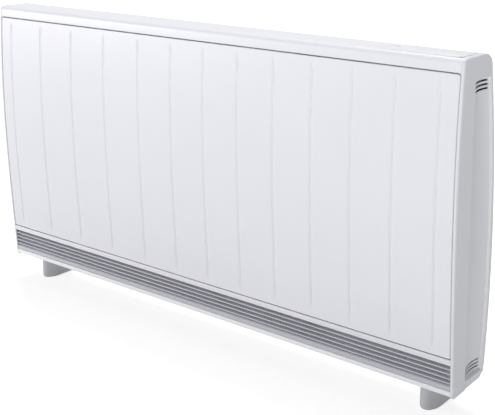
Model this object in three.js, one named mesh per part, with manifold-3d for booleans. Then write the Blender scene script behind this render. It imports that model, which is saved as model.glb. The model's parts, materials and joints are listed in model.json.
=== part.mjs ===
// A slim fan-assisted storage heater: a white steel casing with moulded ends, a warm-air grille along the
// foot of its front, and a brick core, fan and controls inside. Millimetres, +Z up, front towards -Y.
// Pieces are drawn with y = 0 at the ends of the bowed front; the whole heater is then centred in depth.
import * as THREE from 'three';
import { mergeVertices } from 'three/addons/utils/BufferGeometryUtils.js';
import Module from 'manifold-3d';

const wasm = await Module();
wasm.setup();

// ---- driving dimensions -------------------------------------------------------------------------
const width = 1076;            // over the moulded ends
const topZ = 585;              // top face above the floor
const baseZ = 50;              // underside of the base
const capBottomZ = 46;         // the ends hang a little lower than the base
const coverRearLowZ = 541;     // the top cover folds down the back to here
const trayRearTopZ = 78;       // the base turns up at the back to here
const wallPlaneY = 133.7;      // wall face of the brackets
const depthCentre = 63;        // halfway between the front's bow and the wall plane
const halfWidth = width / 2;
const touch = 0.35;            // gap between neighbours that touch

const panelHalf = 531.2;       // front panel, half its width
const panelBottomZ = 115.1;
const panelTopZ = 562.5;
const panelGap = 1.6;          // shadow gap round the front panel
const panelSkin = 1.8;
const panelSteps = 14;         // facets up the bowed face
const panelReturnY = 13;       // the panel's folded edges reach back to here
const panelCorner = 8;         // rounding of its top corners
const capInnerX = panelHalf + panelGap;
const capEdge = 2.5;           // rounding of the ends' outer edges
const capWall = 2.4;
const trimHalf = capInnerX - 0.4;   // top cover, rail and base end just short of the ends
const sheet = 1.5;             // painted sheet, drawn a little thick
const thin = 1.0;              // galvanised sheet

const bowMidZ = 338.8;         // the front bows forward about this height
const bowHalf = 224.5;
const rearMidZ = 260;          // the ends are deepest here
const rearDeepest = 118;
const rearBow = 2.74e-4;       // mm of depth lost per mm squared above or below
const backY = 97;              // outer face of the flat back panel
const plateFaceY = backY - sheet - touch - 8;   // face of the plate that carries the wiring

const creaseX = [-500.3, -409, -317.4, -224.7, -132.9, -49.4, 29.2, 107.8, 186.3, 264.9, 343.5, 422.1, 500.7];
const creaseBottomZ = 133;
const creaseTopZ = 545;
const creaseRadius = 2.3;
const creaseDepth = 1.0;

const grilleBottomZ = 59.6;
const railBottomZ = 104;
const bladePitch = 8;
const bladeZ = [97, 97 - bladePitch, 97 - 2 * bladePitch, 97 - 3 * bladePitch];

const recessFrontY = 37;       // hollow in each end
const recessRearInset = 16;
const recessTopZ = 549;
const recessBottomZ = 62;
const louvreFrontY = recessFrontY + 1.2;
const louvreEndInset = 2.2;    // the louvres end this far in front of the hollow's rear wall
const topLouvreZ = [542.5, 536, 529.5];
const topLouvreHalf = 1.7;
const bottomLouvreZ = [81, 75, 69];
const bottomLouvreHalf = 1.3;

const lidX = [386, 525];       // control lid in the top, right-hand end
const lidFrontY = 17;
const hingeY = 64;
const hingeZ = 583.7;
const lidThick = 3;
const wellFloorZ = 562;        // floor of the control well
const dialX = [424, 470];
const dialY = 41;
const dialRadius = 17;
const dialTopZ = 577.5;
const buttonX = 505;
const buttonTopZ = 569;
const lensX = [392, 401];      // window of the charge indicator, in the lid
const lensY = [44.5, 49.5];
const fingerNotchCentre = [lidX[1] - 1.5, lidFrontY - 0.5];
const lugX = [[lidX[0] + 0.4, lidX[0] + 3.6], [lidX[1] - 3.6, lidX[1] - 0.4]];
const rodX = [lidX[0] + 0.8, lidX[1] - 0.8];   // hinge rod, held at both ends by the lugs

const footX = 474.5;
const footWidth = 35;
const footFrontY = 21;
const footNose = 28;           // length of the rounded nose
const footRearY = 108;

const coreX = [-511, 352];     // core case, outside
const coreY = [8, 90];
const coreZ = [156, 556];
const insulation = 20;
const brickRows = 3;
const brickColumns = 4;
const brickSize = [205, 40, 116];
const brickGap = 1;
const elementRadius = 4;
const elementSpread = 11;      // each leg of a heating element from its middle line

const fanY = 62;
const fanZ = 104;
const fanRadius = 22;
const fanHalf = 240;
const damperShaftY = 48;
const damperZ = 137;
const crankX = -272;           // crank on the flap's shaft, pushed by the actuator's plunger
const plungerZ = damperZ + 7;
const plungerTipY = damperShaftY + 4.1;

const glandX = 470;            // cable entry in the back
const glandZ = 92;
const cutoutZ = 465;           // overheat cut-out on the end of the core case

const screwRadius = 1.6;
const bracketX = 330;
const bracketScrew = (side) => [side * bracketX, backY + 2 + 2 * touch, 484];
const footBolt = (side) => [side * footX, 80, baseZ + sheet + touch];

const white = [0xf1f1f6, 0.42, 0.0];
const whitePlastic = [0xeeeef3, 0.5, 0.0];
const greyPaint = [0xc4c4cc, 0.5, 0.2];
const zinc = [0xa9adb0, 0.45, 0.8];
const blackPlastic = [0x2a2a2c, 0.6, 0.0];

// ---- solids -------------------------------------------------------------------------------------
const heater = new THREE.Group();
heater.position.y = -depthCentre;

function toSolid(geometry) {
  geometry.deleteAttribute('normal');
  geometry.deleteAttribute('uv');
  const merged = mergeVertices(geometry, 1e-4);
  return new wasm.Manifold(new wasm.Mesh({
    numProp: 3,
    vertProperties: new Float32Array(merged.attributes.position.array),
    triVerts: new Uint32Array(merged.index.array),
  }));
}

function toGeometry(solid) {
  const mesh = solid.getMesh();
  const geometry = new THREE.BufferGeometry();
  geometry.setAttribute('position', new THREE.BufferAttribute(mesh.vertProperties, 3));
  geometry.setIndex(new THREE.BufferAttribute(mesh.triVerts, 1));
  geometry.computeVertexNormals();
  return geometry;
}

function add(name, solid, [color, roughness, metalness]) {
  const finish = new THREE.MeshStandardMaterial({ color, roughness, metalness });
  const mesh = new THREE.Mesh(toGeometry(solid), finish);
  mesh.name = name;
  heater.add(mesh);
}

function join(parts) {
  return parts.reduce((all, part) => all.add(part));
}

// A block between two corners, given as [low, high] along each axis.
function block([x0, x1], [y0, y1], [z0, z1]) {
  const geometry = new THREE.BoxGeometry(x1 - x0, y1 - y0, z1 - z0);
  geometry.translate((x0 + x1) / 2, (y0 + y1) / 2, (z0 + z1) / 2);
  return toSolid(geometry);
}

// A round bar along x, y or z, from its start point.
function bar(axis, radius, [x, y, z], length, sides = 24) {
  const geometry = new THREE.CylinderGeometry(radius, radius, length, sides);
  if (axis === 'x') geometry.rotateZ(-Math.PI / 2);
  if (axis === 'z') geometry.rotateX(Math.PI / 2);
  const half = (name) => (axis === name ? length / 2 : 0);
  geometry.translate(x + half('x'), y + half('y'), z + half('z'));
  return toSolid(geometry);
}

function outline(points) {
  return new THREE.Shape(points.map(([a, b]) => new THREE.Vector2(a, b)));
}

// An outline of [y, z] points drawn out along x.
function alongX(shape, [x0, x1], options = {}) {
  const geometry = new THREE.ExtrudeGeometry(shape, { depth: x1 - x0, bevelEnabled: false, ...options });
  const axes = new THREE.Matrix4();
  axes.makeBasis(new THREE.Vector3(0, 1, 0), new THREE.Vector3(0, 0, 1), new THREE.Vector3(1, 0, 0));
  geometry.applyMatrix4(axes);
  geometry.translate(x0, 0, 0);
  return toSolid(geometry);
}

// An outline of [x, z] points drawn out along y.
function alongY(shape, [y0, y1]) {
  const options = { depth: y1 - y0, bevelEnabled: false, curveSegments: 6 };
  const geometry = new THREE.ExtrudeGeometry(shape, options);
  geometry.rotateX(Math.PI / 2);
  geometry.translate(0, y1, 0);
  return toSolid(geometry);
}

// An outline of [x, y] points drawn out along z.
function alongZ(shape, [z0, z1], options = {}) {
  const geometry = new THREE.ExtrudeGeometry(shape, { depth: z1 - z0, bevelEnabled: false, ...options });
  geometry.translate(0, 0, z0);
  return toSolid(geometry);
}

// A round rod along a smooth line through the points.
function rod(points, radius, steps, sides = 8) {
  const path = new THREE.CatmullRomCurve3(points.map((p) => new THREE.Vector3(...p)));
  const section = new THREE.Shape();
  section.absarc(0, 0, radius, 0, 2 * Math.PI);
  const geometry = new THREE.ExtrudeGeometry(section, { steps, curveSegments: sides, extrudePath: path });
  return toSolid(geometry);
}

// ---- the casing's curves ------------------------------------------------------------------------
function frontY(z) {
  const s = (z - bowMidZ) / bowHalf;
  return 1.96 * s + 7.7 * (s * s - 1) + 2.2 * (s * s * s - s);
}

function rearY(z) {
  return rearDeepest - rearBow * (z - rearMidZ) ** 2;
}

function heights(z0, z1, count) {
  return Array.from({ length: count + 1 }, (_, i) => z0 + (z1 - z0) * i / count);
}

// Rounds the corner at p: a straight run up to it from a, then a curve out towards b.
function roundCorner(shape, a, p, b, radius) {
  const back = new THREE.Vector2(a[0] - p[0], a[1] - p[1]).normalize().multiplyScalar(radius);
  const on = new THREE.Vector2(b[0] - p[0], b[1] - p[1]).normalize().multiplyScalar(radius);
  shape.lineTo(p[0] + back.x, p[1] + back.y);
  shape.quadraticCurveTo(p[0], p[1], p[0] + on.x, p[1] + on.y);
}

// Side view of the ends, drawn in by an inset.
function sideOutline(inset) {
  const low = capBottomZ + inset;
  const high = topZ - inset;
  const front = (z) => [frontY(z) + inset, z];
  const rear = (z) => [rearY(z) - inset, z];
  const shape = new THREE.Shape();
  const lowStart = (front(low)[0] + rear(low)[0]) / 2;
  shape.moveTo(lowStart, low);
  roundCorner(shape, rear(low), front(low), front(low + 20), 7);
  for (const z of heights(low + 20, high - 20, 14)) shape.lineTo(...front(z));
  roundCorner(shape, front(high - 20), front(high), rear(high), 9);
  roundCorner(shape, front(high), rear(high), rear(high - 40), 24);
  for (const z of heights(high - 40, low + 40, 14)) shape.lineTo(...rear(z));
  roundCorner(shape, rear(low + 40), rear(low), front(low), 22);
  shape.closePath();
  return shape;
}

// A strip of even thickness following the front between two heights.
function frontStrip(z0, z1, thickness, count) {
  const outer = heights(z0, z1, count).map((z) => [frontY(z), z]);
  const inner = heights(z1, z0, count).map((z) => [frontY(z) + thickness, z]);
  return outline([...outer, ...inner]);
}

// ---- casing -------------------------------------------------------------------------------------
function crease(x) {
  const lift = creaseRadius - creaseDepth;
  const line = heights(creaseBottomZ, creaseTopZ, 6).map((z) => [x, frontY(z) - lift, z]);
  const below = [x, frontY(creaseBottomZ - 20) - creaseRadius - 0.3, creaseBottomZ - 20];
  const above = [x, frontY(creaseTopZ + 14) - creaseRadius - 0.3, creaseTopZ + 14];
  return rod([below, ...line, above], creaseRadius, 8, 3);
}

function frontPanel() {
  const across = [-panelHalf, panelHalf];
  const skin = alongX(frontStrip(panelBottomZ, panelTopZ, panelSkin, panelSteps), across);
  const edge = (from, z) => block(across, [frontY(from) + 0.4, panelReturnY], z);
  const lowReturn = edge(panelBottomZ, [panelBottomZ, panelBottomZ + sheet]);
  const highReturn = edge(panelTopZ, [panelTopZ - sheet, panelTopZ]);
  const front = heights(panelBottomZ, panelTopZ, panelSteps).map((z) => [frontY(z), z]);
  const side = outline([...front, [panelReturnY, panelTopZ], [panelReturnY, panelBottomZ]]);
  const leftSide = alongX(side, [-panelHalf, sheet - panelHalf]);
  const rightSide = alongX(side, [panelHalf - sheet, panelHalf]);
  const creases = join(creaseX.map(crease));
  return join([skin, lowReturn, highReturn, leftSide, rightSide]).subtract(creases);
}

function topCover() {
  const low = panelTopZ + panelGap;
  const rearLow = coverRearLowZ;
  const front = (z, t) => [frontY(z) + t, z];
  const profile = new THREE.Shape();
  profile.moveTo(...front(low, 0));
  roundCorner(profile, front(low, 0), front(topZ, 0), [rearY(topZ), topZ], 9);
  roundCorner(profile, front(topZ, 0), [rearY(topZ), topZ], [rearY(rearLow), rearLow], 24);
  profile.lineTo(rearY(rearLow), rearLow);
  profile.lineTo(rearY(rearLow) - sheet, rearLow);
  const inner = topZ - sheet;
  const innerRear = [rearY(inner) - sheet, inner];
  roundCorner(profile, [rearY(rearLow) - sheet, rearLow], innerRear, front(inner, sheet), 22);
  roundCorner(profile, [rearY(inner), inner], front(inner, sheet), front(low, sheet), 8);
  profile.lineTo(...front(low, sheet));
  profile.closePath();
  const shell = alongX(profile, [-trimHalf, trimHalf], { curveSegments: 6 });
  const lidGap = 0.6;
  const openingX = [lidX[0] - lidGap, lidX[1] + lidGap];
  const opening = block(openingX, [lidFrontY - lidGap, hingeY + 2.2], [topZ - 5, topZ + 5]);
  const fingerNotch = bar('z', 5, [...fingerNotchCentre, topZ - 5], 10, 20);
  return shell.subtract(opening).subtract(fingerNotch).add(cornerFillet(1)).add(cornerFillet(-1));
}

// Fills the square corner of the opening above the front panel so that its shadow gap turns in a curve.
function cornerFillet(side) {
  const reach = panelCorner - 1;
  const x = panelHalf + panelGap - 0.4;
  const z = panelTopZ + panelGap;
  const shape = new THREE.Shape();
  shape.moveTo(side * x, z + 1);
  shape.lineTo(side * (x - reach), z + 1);
  shape.lineTo(side * (x - reach), z);
  shape.quadraticCurveTo(side * (x - 0.9), z - 0.1, side * (x - 0.7), z - reach);
  shape.lineTo(side * x, z - reach);
  shape.closePath();
  return alongY(shape, [frontY(z - 3) + 0.1, frontY(z - 3) + sheet]);
}

// The front panel's top corners are rounded to follow those fillets.
function panelCornerCut() {
  const reach = panelCorner;
  const cuts = [-1, 1].map((side) => {
    const shape = new THREE.Shape();
    shape.moveTo(side * (panelHalf + 1), panelTopZ + 1);
    shape.lineTo(side * (panelHalf - reach), panelTopZ + 1);
    shape.lineTo(side * (panelHalf - reach), panelTopZ + 0.02);
    shape.quadraticCurveTo(side * panelHalf, panelTopZ, side * (panelHalf + 0.02), panelTopZ - reach);
    shape.lineTo(side * (panelHalf + 1), panelTopZ - reach);
    shape.closePath();
    return alongY(shape, [-30, 30]);
  });
  return join(cuts);
}

// Hollow down the side of an end: a scoop whose floor rises gently to the rear.
function recessVoid() {
  const z = heights(recessBottomZ, recessTopZ, 12);
  const rear = z.map((height) => [rearY(height) - recessRearInset, height]);
  const sideView = outline([[recessFrontY, recessBottomZ], ...rear, [recessFrontY, recessTopZ]]);
  const section = outline([
    [halfWidth + 0.6, recessFrontY], [535.4, 39], [533, 42], [531.7, 47], [531.3, 54],
    [531.8, 66], [532.9, 80], [535.4, 104], [halfWidth + 8, 104], [halfWidth + 8, recessFrontY],
  ]);
  const across = alongZ(section, [recessBottomZ - 1, recessTopZ + 1]);
  return alongX(sideView, [525, halfWidth + 6]).intersect(across);
}

// A slot through an end, from the front of its hollow to just short of the hollow's rear wall.
function louvre(at, half) {
  const endY = rearY(at) - recessRearInset - louvreEndInset;
  return block([520, 545], [louvreFrontY, endY], [at - half, at + half]);
}

function endCapRight() {
  const edge = capEdge;
  const bevel = {
    bevelEnabled: true,
    bevelThickness: edge,
    bevelSize: edge,
    bevelOffset: -edge,
    bevelSegments: 2,
    curveSegments: 5,
  };
  const blank = alongX(sideOutline(0), [510, halfWidth - edge], bevel);
  const kept = block([capInnerX, halfWidth + 5], [-20, 140], [30, 600]).add(
    block([524, halfWidth + 5], [backY + 0.5, 140], [30, 600]));
  const pocket = alongX(sideOutline(capWall), [500, halfWidth - capWall], { curveSegments: 5 });
  const z = heights(recessBottomZ - 2, recessTopZ + 2, 12);
  const panWall = 2.2;
  const panFrontY = recessFrontY - panWall;
  const panRear = z.map((height) => [rearY(height) - recessRearInset + panWall, height]);
  const panView = outline([[panFrontY, recessBottomZ - 2], ...panRear, [panFrontY, recessTopZ + 2]]);
  const pan = alongX(panView, [528.9, halfWidth - 1]);
  const slots = [
    ...topLouvreZ.map((at) => louvre(at, topLouvreHalf)),
    ...bottomLouvreZ.map((at) => louvre(at, bottomLouvreHalf)),
  ];
  const cableRebate = block([halfWidth - 1.6, 545], [41, 100], [40, 56]);
  const shell = blank.intersect(kept).subtract(pocket).add(pan);
  return shell.subtract(recessVoid()).subtract(join(slots)).subtract(cableRebate);
}

function baseTray() {
  const lipTop = grilleBottomZ - touch;
  const rearTop = trayRearTopZ;
  const profile = outline([
    [frontY(baseZ) + 1.2, baseZ], [backY, baseZ], [backY, rearTop], [backY - sheet, rearTop],
    [backY - sheet, baseZ + sheet], [frontY(baseZ) + sheet + 1.2, baseZ + sheet],
    [frontY(baseZ) + sheet, lipTop], [frontY(lipTop), lipTop], [frontY(baseZ), baseZ + 1.2],
  ]);
  const holes = [-1, 1].map((side) => screwHole('z', footBolt(side), 20));
  return alongX(profile, [-trimHalf, trimHalf]).subtract(join(holes));
}

function frontRail() {
  const z1 = panelBottomZ - panelGap;
  const profile = outline([
    [frontY(railBottomZ), railBottomZ], [frontY(z1), z1], [15, z1], [15, z1 - sheet],
    [frontY(z1) + sheet, z1 - sheet], [frontY(railBottomZ) + sheet, railBottomZ],
  ]);
  return alongX(profile, [-trimHalf, trimHalf]);
}

// Grey warm-air grille: a frame with four sloping blades and a deep lower lip.
function outletGrille() {
  const z0 = grilleBottomZ;
  const z1 = railBottomZ - touch;
  const depth = 12;
  const sideBar = 6;
  const barSetBack = 6;        // the end bars stand behind the blades' fronts
  const half = trimHalf - 0.3;
  const y = (z) => frontY(z) + 0.8;
  const lipTop = 69;
  const nose = y(lipTop - 2);
  const lipSection = outline([
    [y(z0), z0], [nose, lipTop - 1.5], [nose + 5, lipTop], [nose + depth, lipTop], [y(z0) + depth, z0],
  ]);
  const lip = alongX(lipSection, [-half, half]);
  const endX = [[-half, sideBar - half], [half - sideBar, half]];
  const ends = endX.map((x) => block(x, [y(z0) + barSetBack, y(z0) + depth], [z0, z1]));
  const brace = block([-3, 3], [y(z0) + 8, y(z0) + depth], [z0, z1]);
  const blades = bladeZ.map((z) => {
    const rear = y(z) + depth;
    const section = outline([[y(z), z - 1.6], [y(z), z + 0.6], [rear, z + 3.4], [rear, z + 1.8]]);
    return alongX(section, [-half, half]);
  });
  return join([lip, ...ends, brace, ...blades]);
}

function backPanel() {
  const heightZ = [trayRearTopZ + touch, coverRearLowZ - touch];
  const plate = block([-527.5, 527.5], [backY - sheet, backY], heightZ);
  const gland = bar('y', 8.3, [glandX, backY - 7, glandZ], 20);
  const holes = [-1, 1].map((side) => screwHole('y', bracketScrew(side), 12));
  return plate.subtract(gland).subtract(join(holes));
}

function foot(side) {
  const x = side * footX;
  const shape = new THREE.Shape();
  const half = footWidth / 2;
  shape.moveTo(x + half, footFrontY + footNose);
  shape.lineTo(x + half, footRearY - 10);
  shape.quadraticCurveTo(x + half, footRearY, x + half - 10, footRearY);
  shape.lineTo(x - half + 10, footRearY);
  shape.quadraticCurveTo(x - half, footRearY, x - half, footRearY - 10);
  shape.lineTo(x - half, footFrontY + footNose);
  shape.absellipse(x, footFrontY + footNose, half, footNose, Math.PI, 2 * Math.PI, false, 0);
  const round = 3;
  const options = {
    bevelEnabled: true,
    bevelThickness: round,
    bevelSize: round,
    bevelOffset: -round,
    bevelSegments: 2,
    curveSegments: 8,
  };
  const body = alongZ(shape, [round, baseZ - touch + 4], options);
  const kept = block([x - 50, x + 50], [0, 140], [-1, baseZ - touch]);
  return body.intersect(kept).subtract(screwHole('z', footBolt(side), 18));
}

// Steel bracket that holds the heater off the wall; bent from one strip, with a screw hole in its wall leg.
function wallBracket(side) {
  const x = side * bracketX;
  const half = 20;
  const y0 = backY + touch;
  const strip = 2;
  const profile = outline([
    [y0, 470], [y0 + strip, 470], [y0 + strip, 500], [wallPlaneY, 500],
    [wallPlaneY, 534], [wallPlaneY - strip, 534], [wallPlaneY - strip, 502], [y0, 502],
  ]);
  const hole = bar('y', 3.5, [x, 120, 522], 20, 16);
  return alongX(profile, [x - half, x + half]).subtract(hole).subtract(screwHole('y', bracketScrew(side), 8));
}

// A screw driven forward (axis y) or down (axis z) from under its head at the given point.
function screw(axis, [x, y, z], length) {
  const start = axis === 'y' ? [x, y - length, z] : [x, y, z - length];
  return bar(axis, 3.6, [x, y, z], 2, 14).add(bar(axis, screwRadius, start, length + 0.2, 10));
}

function screwHole(axis, [x, y, z], depth) {
  const start = axis === 'y' ? [x, y - depth, z] : [x, y, z - depth];
  return bar(axis, screwRadius + 0.4, start, depth + 5, 12);
}

// ---- controls under the lid ---------------------------------------------------------------------
// The lid turns on a rod through its rolled rear edge, held at both ends by lugs of the control well.
function controlLid() {
  const top = hingeZ + lidThick / 2;
  const low = hingeZ - lidThick / 2;
  const plate = block([lidX[0], lidX[1]], [lidFrontY, hingeY], [low, top]);
  const roll = bar('x', lidThick / 2, [lidX[0], hingeY, hingeZ], lidX[1] - lidX[0], 16);
  const ribY = [lidFrontY + 5, lidFrontY + 6.5];
  const stiffener = block([lidX[0] + 8, lidX[1] - 10], ribY, [low - 1.8, low + 0.2]);
  const notch = bar('z', 4.4, [...fingerNotchCentre, low - 1], lidThick + 2, 20);
  const window = block(lensX, lensY, [low - 1, top + 1]);
  const corners = [[lidX[0] - 1, lidX[0] + 4], [lidX[1] - 4, lidX[1] + 1]];
  const lugY = [hingeY - 2.2, hingeY + 3];
  const lugRoom = join(corners.map((x) => block(x, lugY, [low - 1, top + 1])));
  const bore = bar('x', 1.0, [rodX[0] - 1, hingeY, hingeZ], rodX[1] - rodX[0] + 2, 14);
  return join([plate, roll, stiffener]).subtract(notch).subtract(window).subtract(lugRoom).subtract(bore);
}

function lidHingeRod() {
  return bar('x', 0.7, [rodX[0], hingeY, hingeZ], rodX[1] - rodX[0], 12);
}

function indicatorLens() {
  const low = hingeZ - lidThick / 2;
  const inset = 0.3;
  const y = [lensY[0] + inset, lensY[1] - inset];
  return block([lensX[0] + inset, lensX[1] - inset], y, [low, low + lidThick]);
}

function indicatorLamp() {
  const middle = (lensX[0] + lensX[1]) / 2;
  const lampY = (lensY[0] + lensY[1]) / 2;
  const foot = [middle, lampY, wellFloorZ + touch];
  const domeZ = wellFloorZ + 9;
  const dome = new THREE.SphereGeometry(3, 10, 6);
  dome.translate(middle, lampY, domeZ);
  const stem = bar('z', 3, foot, domeZ - foot[2], 16);
  const base = bar('z', 4, foot, 3, 16);
  return join([stem, toSolid(dome), base]);
}

function controlWell() {
  const outerX = [lidX[0] - 4, lidX[1] + 3.6];
  const outerY = [lidFrontY - 4, hingeY + 4.6];
  const top = topZ - sheet - touch;
  const outer = block(outerX, outerY, [wellFloorZ - 2, top]);
  const wall = 2;
  const innerX = [outerX[0] + wall, outerX[1] - wall];
  const inner = block(innerX, [outerY[0] + wall, outerY[1] - wall], [wellFloorZ, top + 1]);
  const through = [wellFloorZ - 5, wellFloorZ + 5];
  const spindles = dialX.map((x) => bar('z', 4.2, [x, dialY, through[0]], 10, 20));
  const buttonHole = block([buttonX - 7.6, buttonX + 7.6], [dialY - 9.6, dialY + 9.6], through);
  const lugs = lugX.map((x) => {
    const root = block(x, [hingeY - 1.8, outerY[1] - 1], [hingeZ - 9, top]);
    return root.add(block(x, [hingeY - 1.8, hingeY + 1.8], [top - 1, hingeZ + 1.0]));
  });
  const rodBore = bar('x', 0.95, [rodX[0] - 0.3, hingeY, hingeZ], rodX[1] - rodX[0] + 0.6, 14);
  const tray = outer.subtract(inner).subtract(join(spindles)).subtract(buttonHole);
  return join([tray, ...lugs]).subtract(rodBore);
}

function dial(x) {
  const z0 = wellFloorZ + 0.6;
  const skirt = bar('z', dialRadius, [x, dialY, z0], 4, 32);
  const knob = bar('z', 13.5, [x, dialY, z0 + 3.8], dialTopZ - z0 - 3.8, 28);
  const grip = block([x - 3, x + 3], [dialY - 14.5, dialY + 14.5], [z0 + 3.8, dialTopZ + 1]);
  const pointerZ = [dialTopZ + 0.4, dialTopZ + 1.6];
  const pointer = block([x - 0.9, x + 0.9], [dialY - 14.6, dialY - 6], pointerZ);
  const bore = bar('z', 3.4, [x, dialY, z0 - 1], 10, 16);
  return join([skirt, knob, grip]).subtract(pointer).subtract(bore);
}

function spindle(x) {
  return bar('z', 3, [x, dialY, 552], 18.5, 16);
}

// Rotary control unit under a dial: a moulded body with its spindle hole and two tags.
function rotaryControl(x) {
  const body = block([x - 17, x + 17], [dialY - 15, dialY + 15], [534, wellFloorZ - 2 - touch]);
  const tags = [-8, 8].map((d) => block([x + d - 2, x + d + 2], [dialY - 4, dialY - 3.2], [526, 535]));
  const bore = bar('z', 3.4, [x, dialY, 551], 12, 16);
  return body.add(join(tags)).subtract(bore);
}

function boostButton() {
  const cap = block([buttonX - 7, buttonX + 7], [dialY - 9, dialY + 9], [wellFloorZ - 8, buttonTopZ]);
  const collarZ = [wellFloorZ - 8, wellFloorZ - 6];
  const collar = block([buttonX - 9, buttonX + 9], [dialY - 11, dialY + 11], collarZ);
  const dish = new THREE.SphereGeometry(16, 24, 16);
  dish.translate(buttonX, dialY, buttonTopZ + 15);
  return cap.add(collar).subtract(toSolid(dish));
}

function boostSwitch() {
  const body = block([buttonX - 10, buttonX + 10], [dialY - 12, dialY + 12], [530, wellFloorZ - 2 - touch]);
  const hollow = block([buttonX - 9.5, buttonX + 9.5], [dialY - 11.5, dialY + 11.5], [545, wellFloorZ]);
  const tagX = [buttonX - 5, buttonX + 5];
  const tags = tagX.map((x) => block([x - 2, x + 2], [dialY - 0.4, dialY + 0.4], [522, 531]));
  return body.subtract(hollow).add(join(tags));
}

// ---- brick core ---------------------------------------------------------------------------------
const brickX0 = coreX[0] + insulation + thin + 1;
const brickY0 = (coreY[0] + coreY[1]) / 2 - brickSize[1] / 2;
const brickZ0 = coreZ[0] + insulation + thin + 1;
const coreMidY = (coreY[0] + coreY[1]) / 2;

function coreOrigin(column, row) {
  return [brickX0 + column * (brickSize[0] + brickGap), brickY0, brickZ0 + row * (brickSize[2] + brickGap)];
}

// Brick with a channel in its top for a heating element and air grooves up its front.
function brick(column, row) {
  const [x, y, z] = coreOrigin(column, row);
  const body = block([x, x + brickSize[0]], [y, y + brickSize[1]], [z, z + brickSize[2]]);
  const channelHalf = elementSpread + elementRadius + 1.5;
  const top = z + brickSize[2];
  const channelY = [coreMidY - channelHalf, coreMidY + channelHalf];
  const channel = block([x - 1, x + brickSize[0] + 1], channelY, [top - 10, top + 1]);
  const grooves = [0.2, 0.5, 0.8].map((f) => {
    const middle = x + f * brickSize[0];
    return block([middle - 9, middle + 9], [y - 1, y + 5], [z - 1, top + 1]);
  });
  return body.subtract(channel).subtract(join(grooves));
}

// One course of bricks, keyed end to end by short tongues.
function brickRow(row) {
  const bricks = Array.from({ length: brickColumns }, (_, column) => brick(column, row));
  const tongues = bricks.slice(1).map((_, i) => {
    const [x, , z] = coreOrigin(i + 1, row);
    return block([x - brickGap - 0.5, x + 0.5], [coreMidY - 8, coreMidY + 8], [z + 38, z + 78]);
  });
  return join([...bricks, ...tongues]);
}

function elementZ(row) {
  return coreOrigin(0, row)[2] + brickSize[2] - 5;
}

// Hairpin heating element: two legs joined by a round bend at the left.
function heatingElement(row) {
  const z = elementZ(row);
  const bendX = brickX0 + 24;
  const endX = coreX[1] + 16;
  const bend = [0, 1, 2, 3, 4].map((i) => {
    const a = Math.PI / 2 + Math.PI * i / 4;
    return [bendX + elementSpread * Math.cos(a), coreMidY + elementSpread * Math.sin(a), z];
  });
  const legY = [coreMidY + elementSpread, coreMidY - elementSpread];
  const legs = legY.map((y) => bar('x', elementRadius, [bendX, y, z], endX - bendX, 12));
  const turn = rod(bend, elementRadius, 8, 6);
  return join([...legs, turn]);
}

// Passage for a heating element through the right-hand end of the core, wider than it by `grow`.
function elementPass(row, grow) {
  const reach = elementSpread + elementRadius + grow;
  const z = elementZ(row);
  const rise = elementRadius + grow;
  const x = [coreX[1] - insulation - 8, coreX[1] + 5];
  return block(x, [coreMidY - reach, coreMidY + reach], [z - rise, z + rise]);
}

function rows() {
  return Array.from({ length: brickRows }, (_, row) => row);
}

const inY = [coreY[0] + thin + touch, coreY[1] - thin - touch];
const inZ = [coreZ[0] + thin + touch, coreZ[1] - thin - touch];
const inX = [coreX[0] + thin + touch, coreX[1] - thin - touch];
const brickX1 = coreOrigin(brickColumns, 0)[0] - brickGap;
const brickZ1 = coreOrigin(0, brickRows)[2] - brickGap;

// Air passes through the case floor and the insulation under the bricks by two long slots.
function airSlots(z) {
  return [-300, 140].map((x) => block([x - 150, x + 150], [brickY0 - 8, brickY0 + 12], z));
}

// Two lugs under the case carry the mixing flap's shaft.
function damperBearing(x) {
  const body = block([x, x + 4], [damperShaftY - 6, damperShaftY + 6], [damperZ - 6, coreZ[0] + 0.5]);
  return body.subtract(bar('x', 3, [x - 1, damperShaftY, damperZ], 8, 16));
}

function coreCase() {
  const outer = block(coreX, [coreY[0] + thin + touch, coreY[1]], coreZ);
  const innerX = [coreX[0] + thin, coreX[1] - thin];
  const innerZ = [coreZ[0] + thin, coreZ[1] - thin];
  const inner = block(innerX, [coreY[0] - 5, coreY[1] - thin], innerZ);
  const passes = join(rows().map((row) => elementPass(row, 3)));
  const slots = join(airSlots([coreZ[0] - 2, coreZ[0] + 4]));
  const shell = outer.subtract(inner).subtract(passes).subtract(slots);
  return join([shell, damperBearing(-262), damperBearing(252)]);
}

// Front of the core case, with a rail that backs the front panel.
function coreCover() {
  const plate = block(coreX, [coreY[0], coreY[0] + thin], coreZ);
  const back = coreY[0] + 0.5;
  const face = heights(470, 500, 2).map((at) => [frontY(at) + 1.8 + touch, at]);
  return plate.add(alongX(outline([...face, [back, 500], [back, 470]]), [-460, 320]));
}

// Insulation round the four edges of the bricks, with the air slots in its floor.
function insulationSurround() {
  const midY = [brickY0 - 8, brickY0 + brickSize[1] + 8];
  const ring = block(inX, midY, inZ).subtract(
    block([brickX0 - touch, brickX1 + touch], [0, 100], [brickZ0 - touch, brickZ1 + 3]));
  const passes = join(rows().map((row) => elementPass(row, 1.5)));
  return ring.subtract(join(airSlots([inZ[0] - 2, brickZ0 + 2]))).subtract(passes);
}

function insulationSlab(y) {
  return block(inX, y, inZ);
}

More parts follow.
